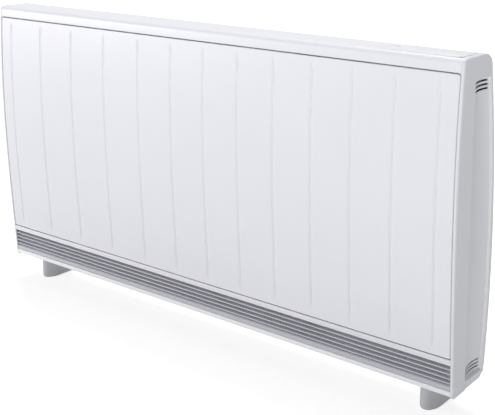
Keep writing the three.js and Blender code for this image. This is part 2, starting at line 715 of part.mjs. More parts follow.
// ---- fan, duct and mixing flap ------------------------------------------------------------------
function impeller() {
  const blades = 12;
  const blade = (i) => {
    const geometry = new THREE.BoxGeometry(2 * fanHalf - 2, 1, 7);
    geometry.rotateX(0.5);
    geometry.translate(0, 0, fanRadius - 4.2);
    geometry.rotateX(2 * Math.PI * i / blades);
    geometry.translate(0, fanY, fanZ);
    return toSolid(geometry);
  };
  const discs = [-fanHalf, -0.75, fanHalf - 1.5].map((x) => bar('x', fanRadius, [x, fanY, fanZ], 1.5, 28));
  const shaft = bar('x', 2.5, [-fanHalf - 12, fanY, fanZ], 2 * fanHalf + 26, 12);
  return join([...discs, shaft, ...Array.from({ length: blades }, (_, i) => blade(i))]);
}

// Scroll behind and under the impeller, leading forward to the grille.
function fanHousing() {
  const arc = (radius, from, to, count) => Array.from({ length: count + 1 }, (_, i) => {
    const a = (from + (to - from) * i / count) * Math.PI / 180;
    return [fanY + radius * Math.cos(a), fanZ + radius * Math.sin(a)];
  });
  const outer = arc(28, -105, 75, 14);
  const inner = arc(27, 75, -105, 14);
  const profile = outline([[16, 63], ...outer, ...inner, [16, 64]]);
  const shell = alongX(profile, [-fanHalf - 6, fanHalf + 6]);
  const ends = [[-fanHalf - 7, -fanHalf - 5.8], [fanHalf + 5.8, fanHalf + 7]].map((x) => {
    const plate = alongX(outline([[16, 63], ...arc(28, -105, 75, 14), [16, 118]]), x);
    return plate.subtract(bar('x', 6.2, [x[0] - 5, fanY, fanZ], 12, 20));
  });
  const footZ = [baseZ + sheet + touch, 82];
  const feet = [-fanHalf - 7, fanHalf + 5.8].map((x) => block([x, x + 1.2], [36, fanY], footZ));
  return join([shell, ...ends, ...feet]);
}

// Sloping plate above the outlet that turns the warm air down to the grille.
function airGuide() {
  const top = coreZ[0] - 0.4;
  const profile = outline([
    [17, 124], [17, 123], [24, 122.4], [31, 150], [31, top], [30, top], [30, 150.4], [23.4, 123.6],
  ]);
  return alongX(profile, [-500, 340]);
}

// The chamber seen through the grille: a floor strip with a sloping back at either side of the fan.
function outletChamber() {
  const back = outline([[17, 61], [30, 61], [30, 62], [18, 62], [26, 110], [26, 111], [25, 111]]);
  const floor = block([-524, 524], [17, 30], [61, 62]);
  return join([alongX(back, [-524, -fanHalf - 9]), alongX(back, [fanHalf + 62, 524]), floor]);
}

function fanMotor() {
  const can = bar('x', 19, [fanHalf + 16, fanY, fanZ], 30, 28);
  const boss = bar('x', 6, [fanHalf + 7.6, fanY, fanZ], 8.8, 16);
  const rear = bar('x', 9, [fanHalf + 45.8, fanY, fanZ], 6, 20);
  const floorZ = baseZ + sheet + touch;
  const legY = [fanY - 12, fanY + 14];
  const leg = block([fanHalf + 22, fanHalf + 24], legY, [floorZ, fanZ]);
  const sole = block([fanHalf + 22, fanHalf + 42], legY, [floorZ, floorZ + 1.5]);
  const bore = bar('x', 2.9, [fanHalf, fanY, fanZ], 16, 14);
  return join([can, boss, rear, leg, sole]).subtract(bore);
}

function fanBush() {
  const body = bar('x', 5.8, [-fanHalf - 12, fanY, fanZ], 10, 20);
  const flange = bar('x', 9, [-fanHalf - 9.4, fanY, fanZ], 2, 20);
  const bore = bar('x', 2.8, [-fanHalf - 15, fanY, fanZ], 20, 14);
  return body.add(flange).subtract(bore);
}

// Mixing flap: a plate on a shaft, with a crank at its left end.
function damperFlap() {
  const shaftX = [crankX - 4, 260];
  const shaft = bar('x', 2.5, [shaftX[0], damperShaftY, damperZ], shaftX[1] - shaftX[0], 12);
  const plate = block([-248, 248], [damperShaftY, damperShaftY + 16], [damperZ - 0.6, damperZ + 0.6]);
  const crankY = [damperShaftY - 2.5, damperShaftY + 2.5];
  const crank = block([crankX - 2, crankX + 2], crankY, [damperZ, damperZ + 9]);
  return join([shaft, plate, crank]);
}

function actuatorPlunger() {
  return bar('y', 2, [crankX, plungerTipY, plungerZ], 18, 12);
}

function thermalActuator() {
  const y0 = plungerTipY + 7;
  const body = bar('y', 7, [crankX, y0, plungerZ], 24, 20);
  const strap = block([crankX - 4, crankX + 4], [y0 + 8, y0 + 18], [plungerZ + 5, coreZ[0] - touch]);
  const bore = bar('y', 2.4, [crankX, y0 - 1, plungerZ], 19, 14);
  return body.add(strap).subtract(bore);
}

// Stand that carries the core case: two channels on one long sole.
function coreStand() {
  const z = [baseZ + sheet + touch, coreZ[0] - touch];
  const y = [34, 88];
  const channels = [[-440, -410], [310, 340]].map((x) => {
    const inner = block([x[0] + sheet, x[1] + 1], [y[0] + sheet, y[1] - sheet], [z[0] - 1, z[1] + 1]);
    return block(x, y, z).subtract(inner);
  });
  const sole = block([-440, 340], [y[1] - 10, y[1]], [z[0], z[0] + sheet]);
  return join([...channels, sole]);
}

// Top-hat rail between the core case and the back panel.
function backRail() {
  const y0 = coreY[1] + touch;
  const y1 = backY - sheet - touch;
  const profile = outline([
    [y0, 300], [y0 + 1, 300], [y0 + 1, 312], [y1, 312], [y1, 340], [y0 + 1, 340], [y0 + 1, 352], [y0, 352],
    [y0, 339], [y1 - 1, 339], [y1 - 1, 313], [y0, 313],
  ]);
  return alongX(profile, [-480, 320]);
}

// I-shaped stay that holds the top cover off the core case.
function coverStay() {
  const low = coreZ[1] + touch;
  const high = topZ - sheet - touch;
  const leaf = 1.3;
  const profile = outline([
    [30, low], [66, low], [66, low + leaf], [49, low + leaf], [49, high - leaf], [66, high - leaf],
    [66, high], [30, high], [30, high - leaf], [47.5, high - leaf], [47.5, low + leaf], [30, low + leaf],
  ]);
  return alongX(profile, [-460, 300]);
}

// ---- wiring compartment -------------------------------------------------------------------------
function electricsPlate() {
  const x = [372, 512];
  const z = [110, 430];
  const metal = 1.2;
  const plate = block(x, [plateFaceY, plateFaceY + metal], z);
  const rolledX = [[x[0], x[0] + metal], [x[1] - metal, x[1]]];
  const rolled = rolledX.map((edge) => block(edge, [plateFaceY, backY - sheet - touch], z));
  return plate.add(join(rolled));
}

function terminalBlock() {
  const body = block([420, 480], [plateFaceY - touch - 20, plateFaceY - touch], [150, 176]);
  const wells = [430, 450, 470].map((x) => bar('y', 4, [x, plateFaceY - 30, 163], 20, 14));
  const entries = [430, 450, 470].map((x) => bar('z', 3, [x, plateFaceY - 8, 149], 8, 12));
  return body.subtract(join(wells)).subtract(join(entries));
}

function cableClamp() {
  const y = [plateFaceY - touch - 10, plateFaceY - touch];
  const body = block([glandX - 16, glandX + 16], y, [122, 134]);
  return body.subtract(bar('z', 4.2, [glandX, plateFaceY - touch - 5, 120], 20, 16));
}

function cableGland() {
  const flange = bar('y', 12, [glandX, backY + touch, glandZ], 3, 28);
  const neck = bar('y', 7.9, [glandX, backY - 8, glandZ], 9, 24);
  const nose = bar('y', 9, [glandX, backY + 3, glandZ], 6, 24);
  const bore = bar('y', 4.6, [glandX, backY - 20, glandZ], 60, 20);
  return join([flange, neck, nose]).subtract(bore);
}

function controlBoard() {
  const y1 = plateFaceY - 8;
  const board = block([384, 500], [y1 - 1.6, y1], [230, 320]);
  const relay = block([392, 420], [y1 - 17, y1 - 1.4], [285, 300]);
  const transformer = block([440, 472], [y1 - 24, y1 - 1.4], [284, 312]);
  const chip = block([430, 444], [y1 - 4, y1 - 1.4], [248, 256]);
  const fuse = block([458, 490], [y1 - 9, y1 - 1.4], [238, 245]);
  const pillars = [[390, 236], [494, 236], [390, 314], [494, 314]].map(([x, z]) => {
    return bar('y', 3, [x, y1 - 0.2, z], 8.2 - touch, 10);
  });
  return join([board, relay, transformer, chip, fuse, ...pillars]);
}

function overheatCutout() {
  const x = coreX[1] + touch;
  const body = bar('x', 9, [x, coreMidY, cutoutZ], 9, 24);
  const ears = block([x, x + 1.2], [coreMidY - 16, coreMidY + 16], [cutoutZ - 5, cutoutZ + 5]);
  const tagY = [coreMidY - 4, coreMidY + 4];
  const tags = tagY.map((y) => block([x + 8.65, x + 16.65], [y - 0.4, y + 0.4], [cutoutZ - 3, cutoutZ + 3]));
  return join([body, ears, ...tags]);
}

// Charge sensor: a phial clipped up the end of the core case.
function coreSensor() {
  const x = coreX[1] + touch;
  const phialX = x + 3.4;
  const phialY = coreMidY + 26;
  const phial = bar('z', 3, [phialX, phialY, 330], 90, 14);
  const tail = bar('z', 1, [phialX, phialY, 419], 40, 8);
  const clips = [345, 400].map((z) => block([x, x + 7.4], [phialY - 4, phialY + 4], [z, z + 5]));
  return join([phial, tail, ...clips]);
}

// Strip that links the neutral ends of the three elements.
function busbar() {
  const y = coreMidY - elementSpread;
  const x = coreX[1] + 16 + touch;
  return block([x, x + 1.5], [y - 4, y + 4], [elementZ(0) - 8, elementZ(2) + 8]);
}

// ---- assembly -----------------------------------------------------------------------------------
add('front_panel', frontPanel().subtract(panelCornerCut()), white);
add('top_cover', topCover(), white);
const capRight = endCapRight();
add('end_cap_right', capRight, whitePlastic);
add('end_cap_left', capRight.mirror([1, 0, 0]), whitePlastic);
add('base_tray', baseTray(), white);
add('front_rail', frontRail(), white);
add('outlet_grille', outletGrille(), greyPaint);
add('back_panel', backPanel(), zinc);
for (const [side, hand] of [[1, 'right'], [-1, 'left']]) {
  add(`foot_${hand}`, foot(side), [0xb4b4b8, 0.6, 0.0]);
  add(`foot_bolt_${hand}`, screw('z', footBolt(side), 14), zinc);
  add(`wall_bracket_${hand}`, wallBracket(side), zinc);
  add(`bracket_screw_${hand}`, screw('y', bracketScrew(side), 6), zinc);
}

add('control_lid', controlLid(), whitePlastic);
add('lid_hinge_rod', lidHingeRod(), zinc);
add('indicator_lens', indicatorLens(), [0x55565c, 0.2, 0.0]);
add('indicator_lamp', indicatorLamp(), [0xd88a3a, 0.3, 0.0]);
add('control_well', controlWell(), whitePlastic);
['charge', 'room_heat'].forEach((use, i) => {
  add(`${use}_dial`, dial(dialX[i]), [0xd8d8de, 0.4, 0.0]);
  add(`${use}_spindle`, spindle(dialX[i]), [0xc8a860, 0.35, 0.9]);
  add(`${use}_control`, rotaryControl(dialX[i]), blackPlastic);
});
add('boost_button', boostButton(), [0xb9bac2, 0.4, 0.0]);
add('boost_switch', boostSwitch(), blackPlastic);

for (const row of rows()) {
  add(`brick_row_${row + 1}`, brickRow(row), [0x4a3f3a, 0.9, 0.0]);
  add(`heating_element_${row + 1}`, heatingElement(row), [0x8a8d8f, 0.4, 0.8]);
}
add('core_case', coreCase(), zinc);
add('core_cover', coreCover(), zinc);
const wool = [0xded9cf, 0.95, 0.0];
add('insulation_surround', insulationSurround(), wool);
add('insulation_front', insulationSlab([inY[0], brickY0 - 8 - touch]), wool);
add('insulation_rear', insulationSlab([brickY0 + brickSize[1] + 8 + touch, inY[1]]), wool);
add('core_stand', coreStand(), zinc);
add('back_rail', backRail(), zinc);
add('cover_stay', coverStay(), zinc);

add('fan_impeller', impeller(), [0x9fa3a6, 0.4, 0.8]);
add('fan_housing', fanHousing(), zinc);
add('fan_motor', fanMotor(), [0x8e9194, 0.45, 0.7]);
add('fan_bush', fanBush(), [0xb08a4a, 0.4, 0.9]);
add('air_guide', airGuide(), zinc);
add('outlet_chamber', outletChamber(), zinc);
add('damper_flap', damperFlap(), zinc);
add('thermal_actuator', thermalActuator(), [0xb08a4a, 0.4, 0.9]);
add('actuator_plunger', actuatorPlunger(), zinc);

add('electrics_plate', electricsPlate(), zinc);
add('terminal_block', terminalBlock(), [0xe8e4da, 0.5, 0.0]);
add('cable_clamp', cableClamp(), blackPlastic);
add('cable_gland', cableGland(), [0xd6d6da, 0.6, 0.0]);
add('control_board', controlBoard(), [0x2f6b45, 0.5, 0.0]);
add('overheat_cutout', overheatCutout(), blackPlastic);
add('core_sensor', coreSensor(), [0xb87945, 0.35, 0.9]);
add('busbar', busbar(), [0xc8a860, 0.35, 0.9]);

export default heater;
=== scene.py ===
import json
from math import radians

import bmesh
import bpy
import numpy as np
from mathutils import Matrix, Vector


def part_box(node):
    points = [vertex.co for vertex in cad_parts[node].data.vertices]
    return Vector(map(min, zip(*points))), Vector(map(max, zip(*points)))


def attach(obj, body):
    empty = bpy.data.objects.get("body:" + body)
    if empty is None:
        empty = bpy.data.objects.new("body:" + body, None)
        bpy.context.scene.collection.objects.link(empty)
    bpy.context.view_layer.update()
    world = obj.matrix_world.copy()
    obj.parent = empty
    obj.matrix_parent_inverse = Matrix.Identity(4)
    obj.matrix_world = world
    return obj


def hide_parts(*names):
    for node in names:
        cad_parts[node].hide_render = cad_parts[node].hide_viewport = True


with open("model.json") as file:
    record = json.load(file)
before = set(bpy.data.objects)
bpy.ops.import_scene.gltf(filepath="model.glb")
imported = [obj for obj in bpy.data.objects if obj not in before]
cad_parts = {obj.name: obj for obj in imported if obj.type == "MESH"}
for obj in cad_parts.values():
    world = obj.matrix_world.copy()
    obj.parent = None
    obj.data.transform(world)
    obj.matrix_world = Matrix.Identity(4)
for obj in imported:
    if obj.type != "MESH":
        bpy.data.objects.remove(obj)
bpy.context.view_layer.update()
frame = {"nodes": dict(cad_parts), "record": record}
nodes, record = frame["nodes"], frame["record"]
print("frame loaded")

# Named lengths are in millimetres along the frame's own axes, unless a note says metres.
perMetre = 1000.0

camera = {
    "place": (1227.1, -1350.6, 840.1),
    "yaw": -37.12, "pitch": -13.82, "roll": -0.17,     # degrees
    "focal": 1020.1,                                   # in pixels of the picture
    "centre": (306.0, 128.0),                          # pixel that the lens axis meets
    "picture": (495, 415), "sensor": 36.0,
}


# Looks along the yaw and pitch; the right and up axes are square to that and turned by the roll.
def addCamera(c):
    yaw, pitch, roll = np.radians([c["yaw"], c["pitch"], c["roll"]])
    ahead = np.array([np.sin(yaw) * np.cos(pitch), np.cos(yaw) * np.cos(pitch), np.sin(pitch)])
    right = np.array([np.cos(yaw), -np.sin(yaw), 0.0])
    up = np.cross(right, ahead)
    turn = np.eye(4)
    turn[:3, 0] = np.cos(roll) * right + np.sin(roll) * up
    turn[:3, 1] = -np.sin(roll) * right + np.cos(roll) * up
    turn[:3, 2] = -ahead
    turn[:3, 3] = np.array(c["place"]) / perMetre
    width, height = c["picture"]
    lens = bpy.data.cameras.new("camera")
    lens.sensor_width = c["sensor"]
    lens.lens = c["focal"] * c["sensor"] / width
    lens.shift_x = 0.5 - c["centre"][0] / width
    lens.shift_y = (c["centre"][1] - height / 2) / width
    viewer = bpy.data.objects.new("camera", lens)
    bpy.context.scene.collection.objects.link(viewer)
    viewer.matrix_world = Matrix(turn.tolist())
    bpy.context.scene.camera = viewer


addCamera(camera)
print("camera set")

# Finishes. Each is a colour with a mottle, a fine grain in its bump, and its gloss.
finishes = {
    "casingWhite": {"colour": (0.80, 0.80, 0.845), "roughness": 0.42, "mottle": 0.012, "mottleScale": 9,
                    "grain": 0.05, "grainScale": 900, "coat": 0.12},
    "mouldingWhite": {"colour": (0.79, 0.79, 0.83), "roughness": 0.5, "mottle": 0.014, "mottleScale": 12,
                      "grain": 0.09, "grainScale": 650},
    # The casing paint made lighter for the base: painted light for the brighter tone the up-tilted base
    # catches, on top of its own white.
    "trimWhiteWithPaintedLight": {"colour": (0.92, 0.92, 0.94), "roughness": 0.42, "mottle": 0.012, "mottleScale": 9,
                  "grain": 0.05, "grainScale": 900, "coat": 0.12},
    "capWhite": {"colour": (0.77, 0.775, 0.80), "roughness": 0.52, "mottle": 0.018, "mottleScale": 7,
                 "grain": 0.09, "grainScale": 650},
    "grilleGrey": {"colour": (0.57, 0.565, 0.62), "roughness": 0.42, "mottle": 0.03,
                   "mottleScale": 14, "grain": 0.05, "grainScale": 800},
    "galvanised": {"colour": (0.60, 0.62, 0.63), "roughness": 0.42, "metallic": 0.85, "mottle": 0.13,
                   "mottleScale": 60, "pattern": "spangle", "grain": 0.05, "grainScale": 500},
    "footGrey": {"colour": (0.52, 0.52, 0.54), "roughness": 0.55, "mottle": 0.03, "mottleScale": 25,
                 "grain": 0.12, "grainScale": 500},
    "zincScrew": {"colour": (0.66, 0.67, 0.68), "roughness": 0.34, "metallic": 0.9, "mottle": 0.08,
                  "mottleScale": 300, "grain": 0.06, "grainScale": 1500},
    "smokedLens": {"colour": (0.07, 0.07, 0.08), "roughness": 0.12, "mottle": 0.02, "mottleScale": 80,
                   "grain": 0.01, "grainScale": 500, "coat": 0.6},
    "amberLamp": {"colour": (0.75, 0.30, 0.06), "roughness": 0.15, "mottle": 0.05, "mottleScale": 120,
                  "grain": 0.02, "grainScale": 600, "coat": 0.4},
    "dialGrey": {"colour": (0.60, 0.60, 0.63), "roughness": 0.36, "mottle": 0.02, "mottleScale": 40,
                 "grain": 0.04, "grainScale": 900},
    "buttonGrey": {"colour": (0.40, 0.40, 0.43), "roughness": 0.38, "mottle": 0.02, "mottleScale": 50,
                   "grain": 0.05, "grainScale": 900},
    "markGrey": {"colour": (0.10, 0.10, 0.11), "roughness": 0.5, "mottle": 0.05, "mottleScale": 200,
                 "grain": 0.03, "grainScale": 900},
    "blackMoulding": {"colour": (0.035, 0.035, 0.038), "roughness": 0.5, "mottle": 0.05, "mottleScale": 60,
                      "grain": 0.08, "grainScale": 700},
    "storageBrick": {"colour": (0.13, 0.085, 0.07), "roughness": 0.9, "mottle": 0.35, "mottleScale": 110,
                     "grain": 0.5, "grainScale": 260},
    "elementSteel": {"colour": (0.36, 0.37, 0.38), "roughness": 0.45, "metallic": 0.8, "mottle": 0.12,
                     "mottleScale": 45, "grain": 0.06, "grainScale": 700},
    "insulationBoard": {"colour": (0.72, 0.68, 0.60), "roughness": 0.95, "mottle": 0.10, "mottleScale": 70,
                        "pattern": "fibre", "grain": 0.35, "grainScale": 300},
    "fanAluminium": {"colour": (0.68, 0.69, 0.70), "roughness": 0.34, "metallic": 0.95, "mottle": 0.05,
                     "mottleScale": 30, "pattern": "brushed", "grain": 0.05, "grainScale": 900},
    "brass": {"colour": (0.66, 0.46, 0.18), "roughness": 0.32, "metallic": 0.95, "mottle": 0.08,
              "mottleScale": 90, "grain": 0.04, "grainScale": 800},
    "steatite": {"colour": (0.74, 0.70, 0.62), "roughness": 0.45, "mottle": 0.04, "mottleScale": 90,
                 "grain": 0.06, "grainScale": 500},
    "boardGreen": {"colour": (0.03, 0.17, 0.07), "roughness": 0.35, "mottle": 0.3, "mottleScale": 160,
                   "pattern": "tracks", "grain": 0.03, "grainScale": 900},
}
finishOfSlot = {
    "casing_white": "casingWhite", "moulding_white": "mouldingWhite", "grille_grey": "grilleGrey",
    "galvanised": "galvanised", "foot_grey": "footGrey", "zinc_screw": "zincScrew",
    "smoked_lens": "smokedLens", "amber_lamp": "amberLamp", "dial_grey": "dialGrey",
    "button_grey": "buttonGrey", "black_plastic": "blackMoulding", "storage_brick": "storageBrick",
    "element_steel": "elementSteel", "insulation_board": "insulationBoard",
    "fan_aluminium": "fanAluminium", "brass": "brass", "terminal_cream": "steatite",
    "board_green": "boardGreen",
}


# A texture node fed by Object coordinates, stretched by the three scale factors.
def patternNode(tree, kind, scale, coordinates):
    make, link = tree.nodes.new, tree.links.new
    stretch = {"brushed": (0.03, 1.0, 1.0), "fibre": (0.35, 1.0, 1.0)}.get(kind, (1.0, 1.0, 1.0))
    placing = make("ShaderNodeMapping")
    placing.inputs["Scale"].default_value = stretch
    link(coordinates, placing.inputs["Vector"])
    if kind in ("spangle", "tracks"):
        texture = make("ShaderNodeTexVoronoi")
        texture.distance = "MANHATTAN" if kind == "tracks" else "EUCLIDEAN"
        out = texture.outputs["Distance" if kind == "tracks" else "Color"]
    else:
        texture = make("ShaderNodeTexNoise")
        texture.inputs["Detail"].default_value = 4.0
        out = texture.outputs["Fac"]
    texture.inputs["Scale"].default_value = scale
    link(placing.outputs["Vector"], texture.inputs["Vector"])
    return out


shading = {"patternLow": 0.25, "patternHigh": 0.75, "roughSpread": 0.05, "coatRoughness": 0.25,
           "bumpDepth": 0.0004}                            # in metres


# Colour = base * (1 - mottle + 2 * mottle * t), t from 0 to 1 as the pattern goes from low to high;
# bump and a little roughness come from a finer noise.
def makeFinish(name, look):
    finish = bpy.data.materials.new(name)
    finish.use_nodes = True
    tree = finish.node_tree
    make, link = tree.nodes.new, tree.links.new
    shader = tree.nodes["Principled BSDF"]
    coordinates = make("ShaderNodeTexCoord").outputs["Object"]
    mottle = patternNode(tree, look.get("pattern", "noise"), look["mottleScale"], coordinates)
    spread = make("ShaderNodeMapRange")
    spread.inputs["From Min"].default_value = shading["patternLow"]
    spread.inputs["From Max"].default_value = shading["patternHigh"]
    spread.inputs["To Min"].default_value = 1.0 - look["mottle"]
    spread.inputs["To Max"].default_value = 1.0 + look["mottle"]
    link(mottle, spread.inputs["Value"])
    tint = make("ShaderNodeVectorMath")
    tint.operation = "SCALE"
    tint.inputs[0].default_value = look["colour"]
    link(spread.outputs["Result"], tint.inputs["Scale"])
    link(tint.outputs["Vector"], shader.inputs["Base Color"])
    grain = patternNode(tree, "noise", look["grainScale"], coordinates)
    rough = make("ShaderNodeMapRange")
    rough.inputs["To Min"].default_value = look["roughness"] - shading["roughSpread"]
    rough.inputs["To Max"].default_value = look["roughness"] + shading["roughSpread"]
    link(grain, rough.inputs["Value"])
    link(rough.outputs["Result"], shader.inputs["Roughness"])
    bump = make("ShaderNodeBump")
    bump.inputs["Strength"].default_value = look["grain"]
    bump.inputs["Distance"].default_value = shading["bumpDepth"]
    link(grain, bump.inputs["Height"])
    link(bump.outputs["Normal"], shader.inputs["Normal"])
    shader.inputs["Metallic"].default_value = look.get("metallic", 0.0)
    shader.inputs["Coat Weight"].default_value = look.get("coat", 0.0)
    shader.inputs["Coat Roughness"].default_value = shading["coatRoughness"]
    return finish


materials = {name: makeFinish(name, look) for name, look in finishes.items()}
slotOfNode = {part["node"]: part["material_slot"] for part in record["subparts"]}
bodyOfNode = {node: body for body, held in record["behaviour"]["bodies"].items() for node in held}
for node, slot in slotOfNode.items():
    nodes[node].data.materials.clear()
    nodes[node].data.materials.append(materials[finishOfSlot[slot]])
print("finishes made")


# Eases from 0 to 1 as 3tt - 2ttt.
def ease(t):
    t = np.clip(t, 0.0, 1.0)
    return t * t * (3.0 - 2.0 * t)


# Lowest and highest corner of a frame node, in millimetres.
def boxOf(node):
    low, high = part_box(node)
    return np.array(low) * perMetre, np.array(high) * perMetre


# Faces between neighbours of a grid with the given rows and columns.
def gridFaces(rows, columns, closed=False, keep=None):
    spans = np.arange(rows - 1), np.arange(columns if closed else columns - 1)
    row, column = np.meshgrid(*spans, indexing="ij")
    following = (column + 1) % columns
    quads = np.stack([row * columns + column, row * columns + following,
                      (row + 1) * columns + following, (row + 1) * columns + column], axis=-1)
    return quads.reshape(-1, 4) if keep is None else quads[keep]


# Indices of the points round the border of a grid, in order.
def rimOf(rows, columns):
    index = np.arange(rows * columns).reshape(rows, columns)
    return np.concatenate([index[0, :-1], index[:-1, -1], index[-1, :0:-1], index[:0:-1, 0]])


# Unit directions that point away from a closed loop of flat points.
def awayFrom(loop):
    ahead, behind = np.roll(loop, -1, axis=0), np.roll(loop, 1, axis=0)
    side = np.stack([(ahead - behind)[:, 1], (behind - ahead)[:, 0]], axis=1)
    area = np.sum(loop[:, 0] * ahead[:, 1] - ahead[:, 0] * loop[:, 1])
    return side / np.linalg.norm(side, axis=1, keepdims=True) * np.sign(area)


# Rounds each corner P of a closed outline: (1-t)(1-t)A + 2t(1-t)P + ttB, A and B a radius before and after P.
def roundedLoop(corners, radius, steps=5):
    corner = np.array(corners, float)
    reach = np.broadcast_to(np.array(radius, float), len(corner))[:, None]
    back = np.roll(corner, 1, axis=0) - corner
    onward = np.roll(corner, -1, axis=0) - corner
    start = (corner + back / np.linalg.norm(back, axis=1, keepdims=True) * reach)[:, None]
    end = (corner + onward / np.linalg.norm(onward, axis=1, keepdims=True) * reach)[:, None]
    t = np.linspace(0.0, 1.0, steps)[None, :, None]
    return ((1 - t) ** 2 * start + 2 * t * (1 - t) * corner[:, None] + t ** 2 * end).reshape(-1, 2)


# Rings of points joined one to the next, with a face over each end.
def ringFaces(rings, sides):
    faces = gridFaces(rings, sides, closed=True).tolist()
    return faces + [list(range(sides)), list(range((rings - 1) * sides, rings * sides))]


# A closed (y, z) outline repeated at each x.
def alongX(loop, xs):
    points = np.empty((len(xs), len(loop), 3))
    points[..., 0] = np.asarray(xs, float)[:, None]
    points[..., 1:] = loop
    return points.reshape(-1, 3), ringFaces(len(xs), len(loop))


# Turned about an upright axis: (radius, height) rows, the radius rippled by row ripple * cos(count * angle).
def turned(centre, profile, sides=96, count=0):
    radius, height, ripple = np.array(profile, float).T[:, :, None]
    angle = np.linspace(0.0, 2.0 * np.pi, sides, endpoint=False)[None]
    reach = radius + ripple * np.cos(count * angle)
    points = np.stack([centre[0] + reach * np.cos(angle), centre[1] + reach * np.sin(angle),
                       height + 0.0 * angle], axis=-1)
    return points.reshape(-1, 3), ringFaces(len(profile), sides)


# Upright block between two corners.
def block(low, high):
    corners = np.meshgrid(*np.array([low, high], float).T, indexing="ij")
    faces = [[0, 1, 3, 2], [4, 6, 7, 5], [0, 4, 5, 1], [2, 3, 7, 6], [0, 2, 6, 4], [1, 5, 7, 3]]
    return np.stack(corners, axis=-1).reshape(-1, 3), faces


# Several (points, faces) pairs as one pair.
def gather(parts):
    starts = np.cumsum([0] + [len(points) for points, _ in parts])
    faces = [[i + int(start) for i in face] for (_, own), start in zip(parts, starts) for face in own]
    return np.concatenate([points for points, _ in parts]), faces


# Gives a raw mesh its wall, rounded edges and shading, and sets the body it rides on and its slot.
def finishPiece(piece, finish, stands, wall=0.0, bevel=0.0, crisp=32.0):
    piece.data.materials.clear()
    piece.data.materials.append(materials[finish])
    if wall:
        thick = piece.modifiers.new("wall", "SOLIDIFY")
        thick.thickness = wall / perMetre
        thick.offset = -1.0
    if bevel:
        edges = piece.modifiers.new("edges", "BEVEL")
        edges.width = bevel / perMetre
        edges.segments = 2
        edges.limit_method = "ANGLE"
        edges.angle_limit = radians(38.0)
    if piece.modifiers:
        seen = piece.evaluated_get(bpy.context.evaluated_depsgraph_get())
        made = bpy.data.meshes.new_from_object(seen)
        piece.modifiers.clear()
        piece.data = made
    piece.data.polygons.foreach_set("use_smooth", np.ones(len(piece.data.polygons), bool))
    piece.data.set_sharp_from_angle(angle=radians(crisp))
    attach(piece, bodyOfNode[stands[0]])


# Makes a piece from points and faces. Closed shapes are turned outwards, open ones towards `outward`.
def layPiece(name, shape, finish, stands, replaced=True, outward=None, **extras):
    points, faces = shape
    mesh = bpy.data.meshes.new(name)
    mesh.from_pydata((np.asarray(points) / perMetre).tolist(), [], np.asarray(faces).tolist()
                     if isinstance(faces, np.ndarray) else faces)
    work = bmesh.new()
    work.from_mesh(mesh)
    bmesh.ops.remove_doubles(work, verts=work.verts, dist=2e-6)
    bmesh.ops.delete(work, geom=[v for v in work.verts if not v.link_faces], context="VERTS")
    if outward is None:
        bmesh.ops.recalc_face_normals(work, faces=work.faces)
    elif sum((f.normal * f.calc_area() for f in work.faces), Vector((0, 0, 0))).dot(outward) < 0:
        bmesh.ops.reverse_faces(work, faces=work.faces)
    work.to_mesh(mesh)
    work.free()
    piece = bpy.data.objects.new(name, mesh)
    bpy.context.scene.collection.objects.link(piece)
    finishPiece(piece, finish, stands, **extras)
    if replaced:
        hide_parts(*stands)


# A merged copy of a frame node with its edges rounded, which takes the node's place.
def softened(node, name, bevel):
    mesh = nodes[node].data.copy()
    work = bmesh.new()
    work.from_mesh(mesh)
    bmesh.ops.remove_doubles(work, verts=work.verts, dist=2e-6)
    bmesh.ops.dissolve_limit(work, angle_limit=radians(0.6), verts=work.verts, edges=work.edges)
    work.to_mesh(mesh)
    work.free()
    piece = bpy.data.objects.new(name, mesh)
    bpy.context.scene.collection.objects.link(piece)
    finishPiece(piece, finishOfSlot[slotOfNode[node]], [node], bevel=bevel)
    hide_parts(node)


casing = {
    "top": 585.0, "bowMiddle": 338.8, "bowHalf": 224.5, "tilt": 1.96, "bow": 7.7, "twist": 2.2,
    "frontPlane": -63.0, "rearMiddle": 260.0, "rearDeepest": 55.0, "rearBow": 2.74e-4, "sheet": 1.5,
}


# Front of the casing at height z: frontPlane + tilt * s + bow * (ss - 1) + twist * (sss - s),
# with s = (z - middle) / half.
def frontAt(z):
    s = (np.asarray(z, float) - casing["bowMiddle"]) / casing["bowHalf"]
    bowed = casing["tilt"] * s + casing["bow"] * (s * s - 1) + casing["twist"] * (s ** 3 - s)
    return casing["frontPlane"] + bowed


# Rear of the ends at height z: deepest - bow * (z - middle) squared.
def rearAt(z):
    return casing["rearDeepest"] - casing["rearBow"] * (np.asarray(z, float) - casing["rearMiddle"]) ** 2


# How far a rounded corner draws the edge in, a distance d from its end: r * (1 - sqrt(d / r)) squared.
def cornerPull(distance, radius):
    return radius * (1.0 - np.sqrt(np.clip(distance / radius, 0.0, 1.0))) ** 2


# Adds a quarter-circle rim round a grid that faces along an axis, then a straight side back to `end`.
def foldedRim(grid, axis, facing, radius, end, holes=None):
    rows, columns = grid.shape[:2]
    points = grid.reshape(-1, 3)
    rim = rimOf(rows, columns)
    flat = [i for i in range(3) if i != axis]
    loop = points[rim]
    away = np.zeros((len(rim), 3))
    away[:, flat] = awayFrom(loop[:, flat])
    angle = np.linspace(0.0, np.pi / 2, 6)[1:]
    rings = loop + radius * np.sin(angle)[:, None, None] * away
    rings[..., axis] -= facing * radius * (1.0 - np.cos(angle))[:, None]
    last = rings[-1].copy()
    last[:, axis] = end(last) if callable(end) else end
    rings = np.concatenate([rings, last[None]])
    count = len(rim)
    ringIndex = len(points) + np.arange(len(rings) * count).reshape(len(rings), count)
    ladder = np.concatenate([rim[None], ringIndex])
    onward = np.roll(ladder, -1, axis=1)
    skirt = np.stack([ladder[:-1], ladder[1:], onward[1:], onward[:-1]], axis=-1).reshape(-1, 4)
    faces = gridFaces(rows, columns, keep=holes)
    return np.concatenate([points, rings.reshape(-1, 3)]), np.concatenate([faces, skirt])


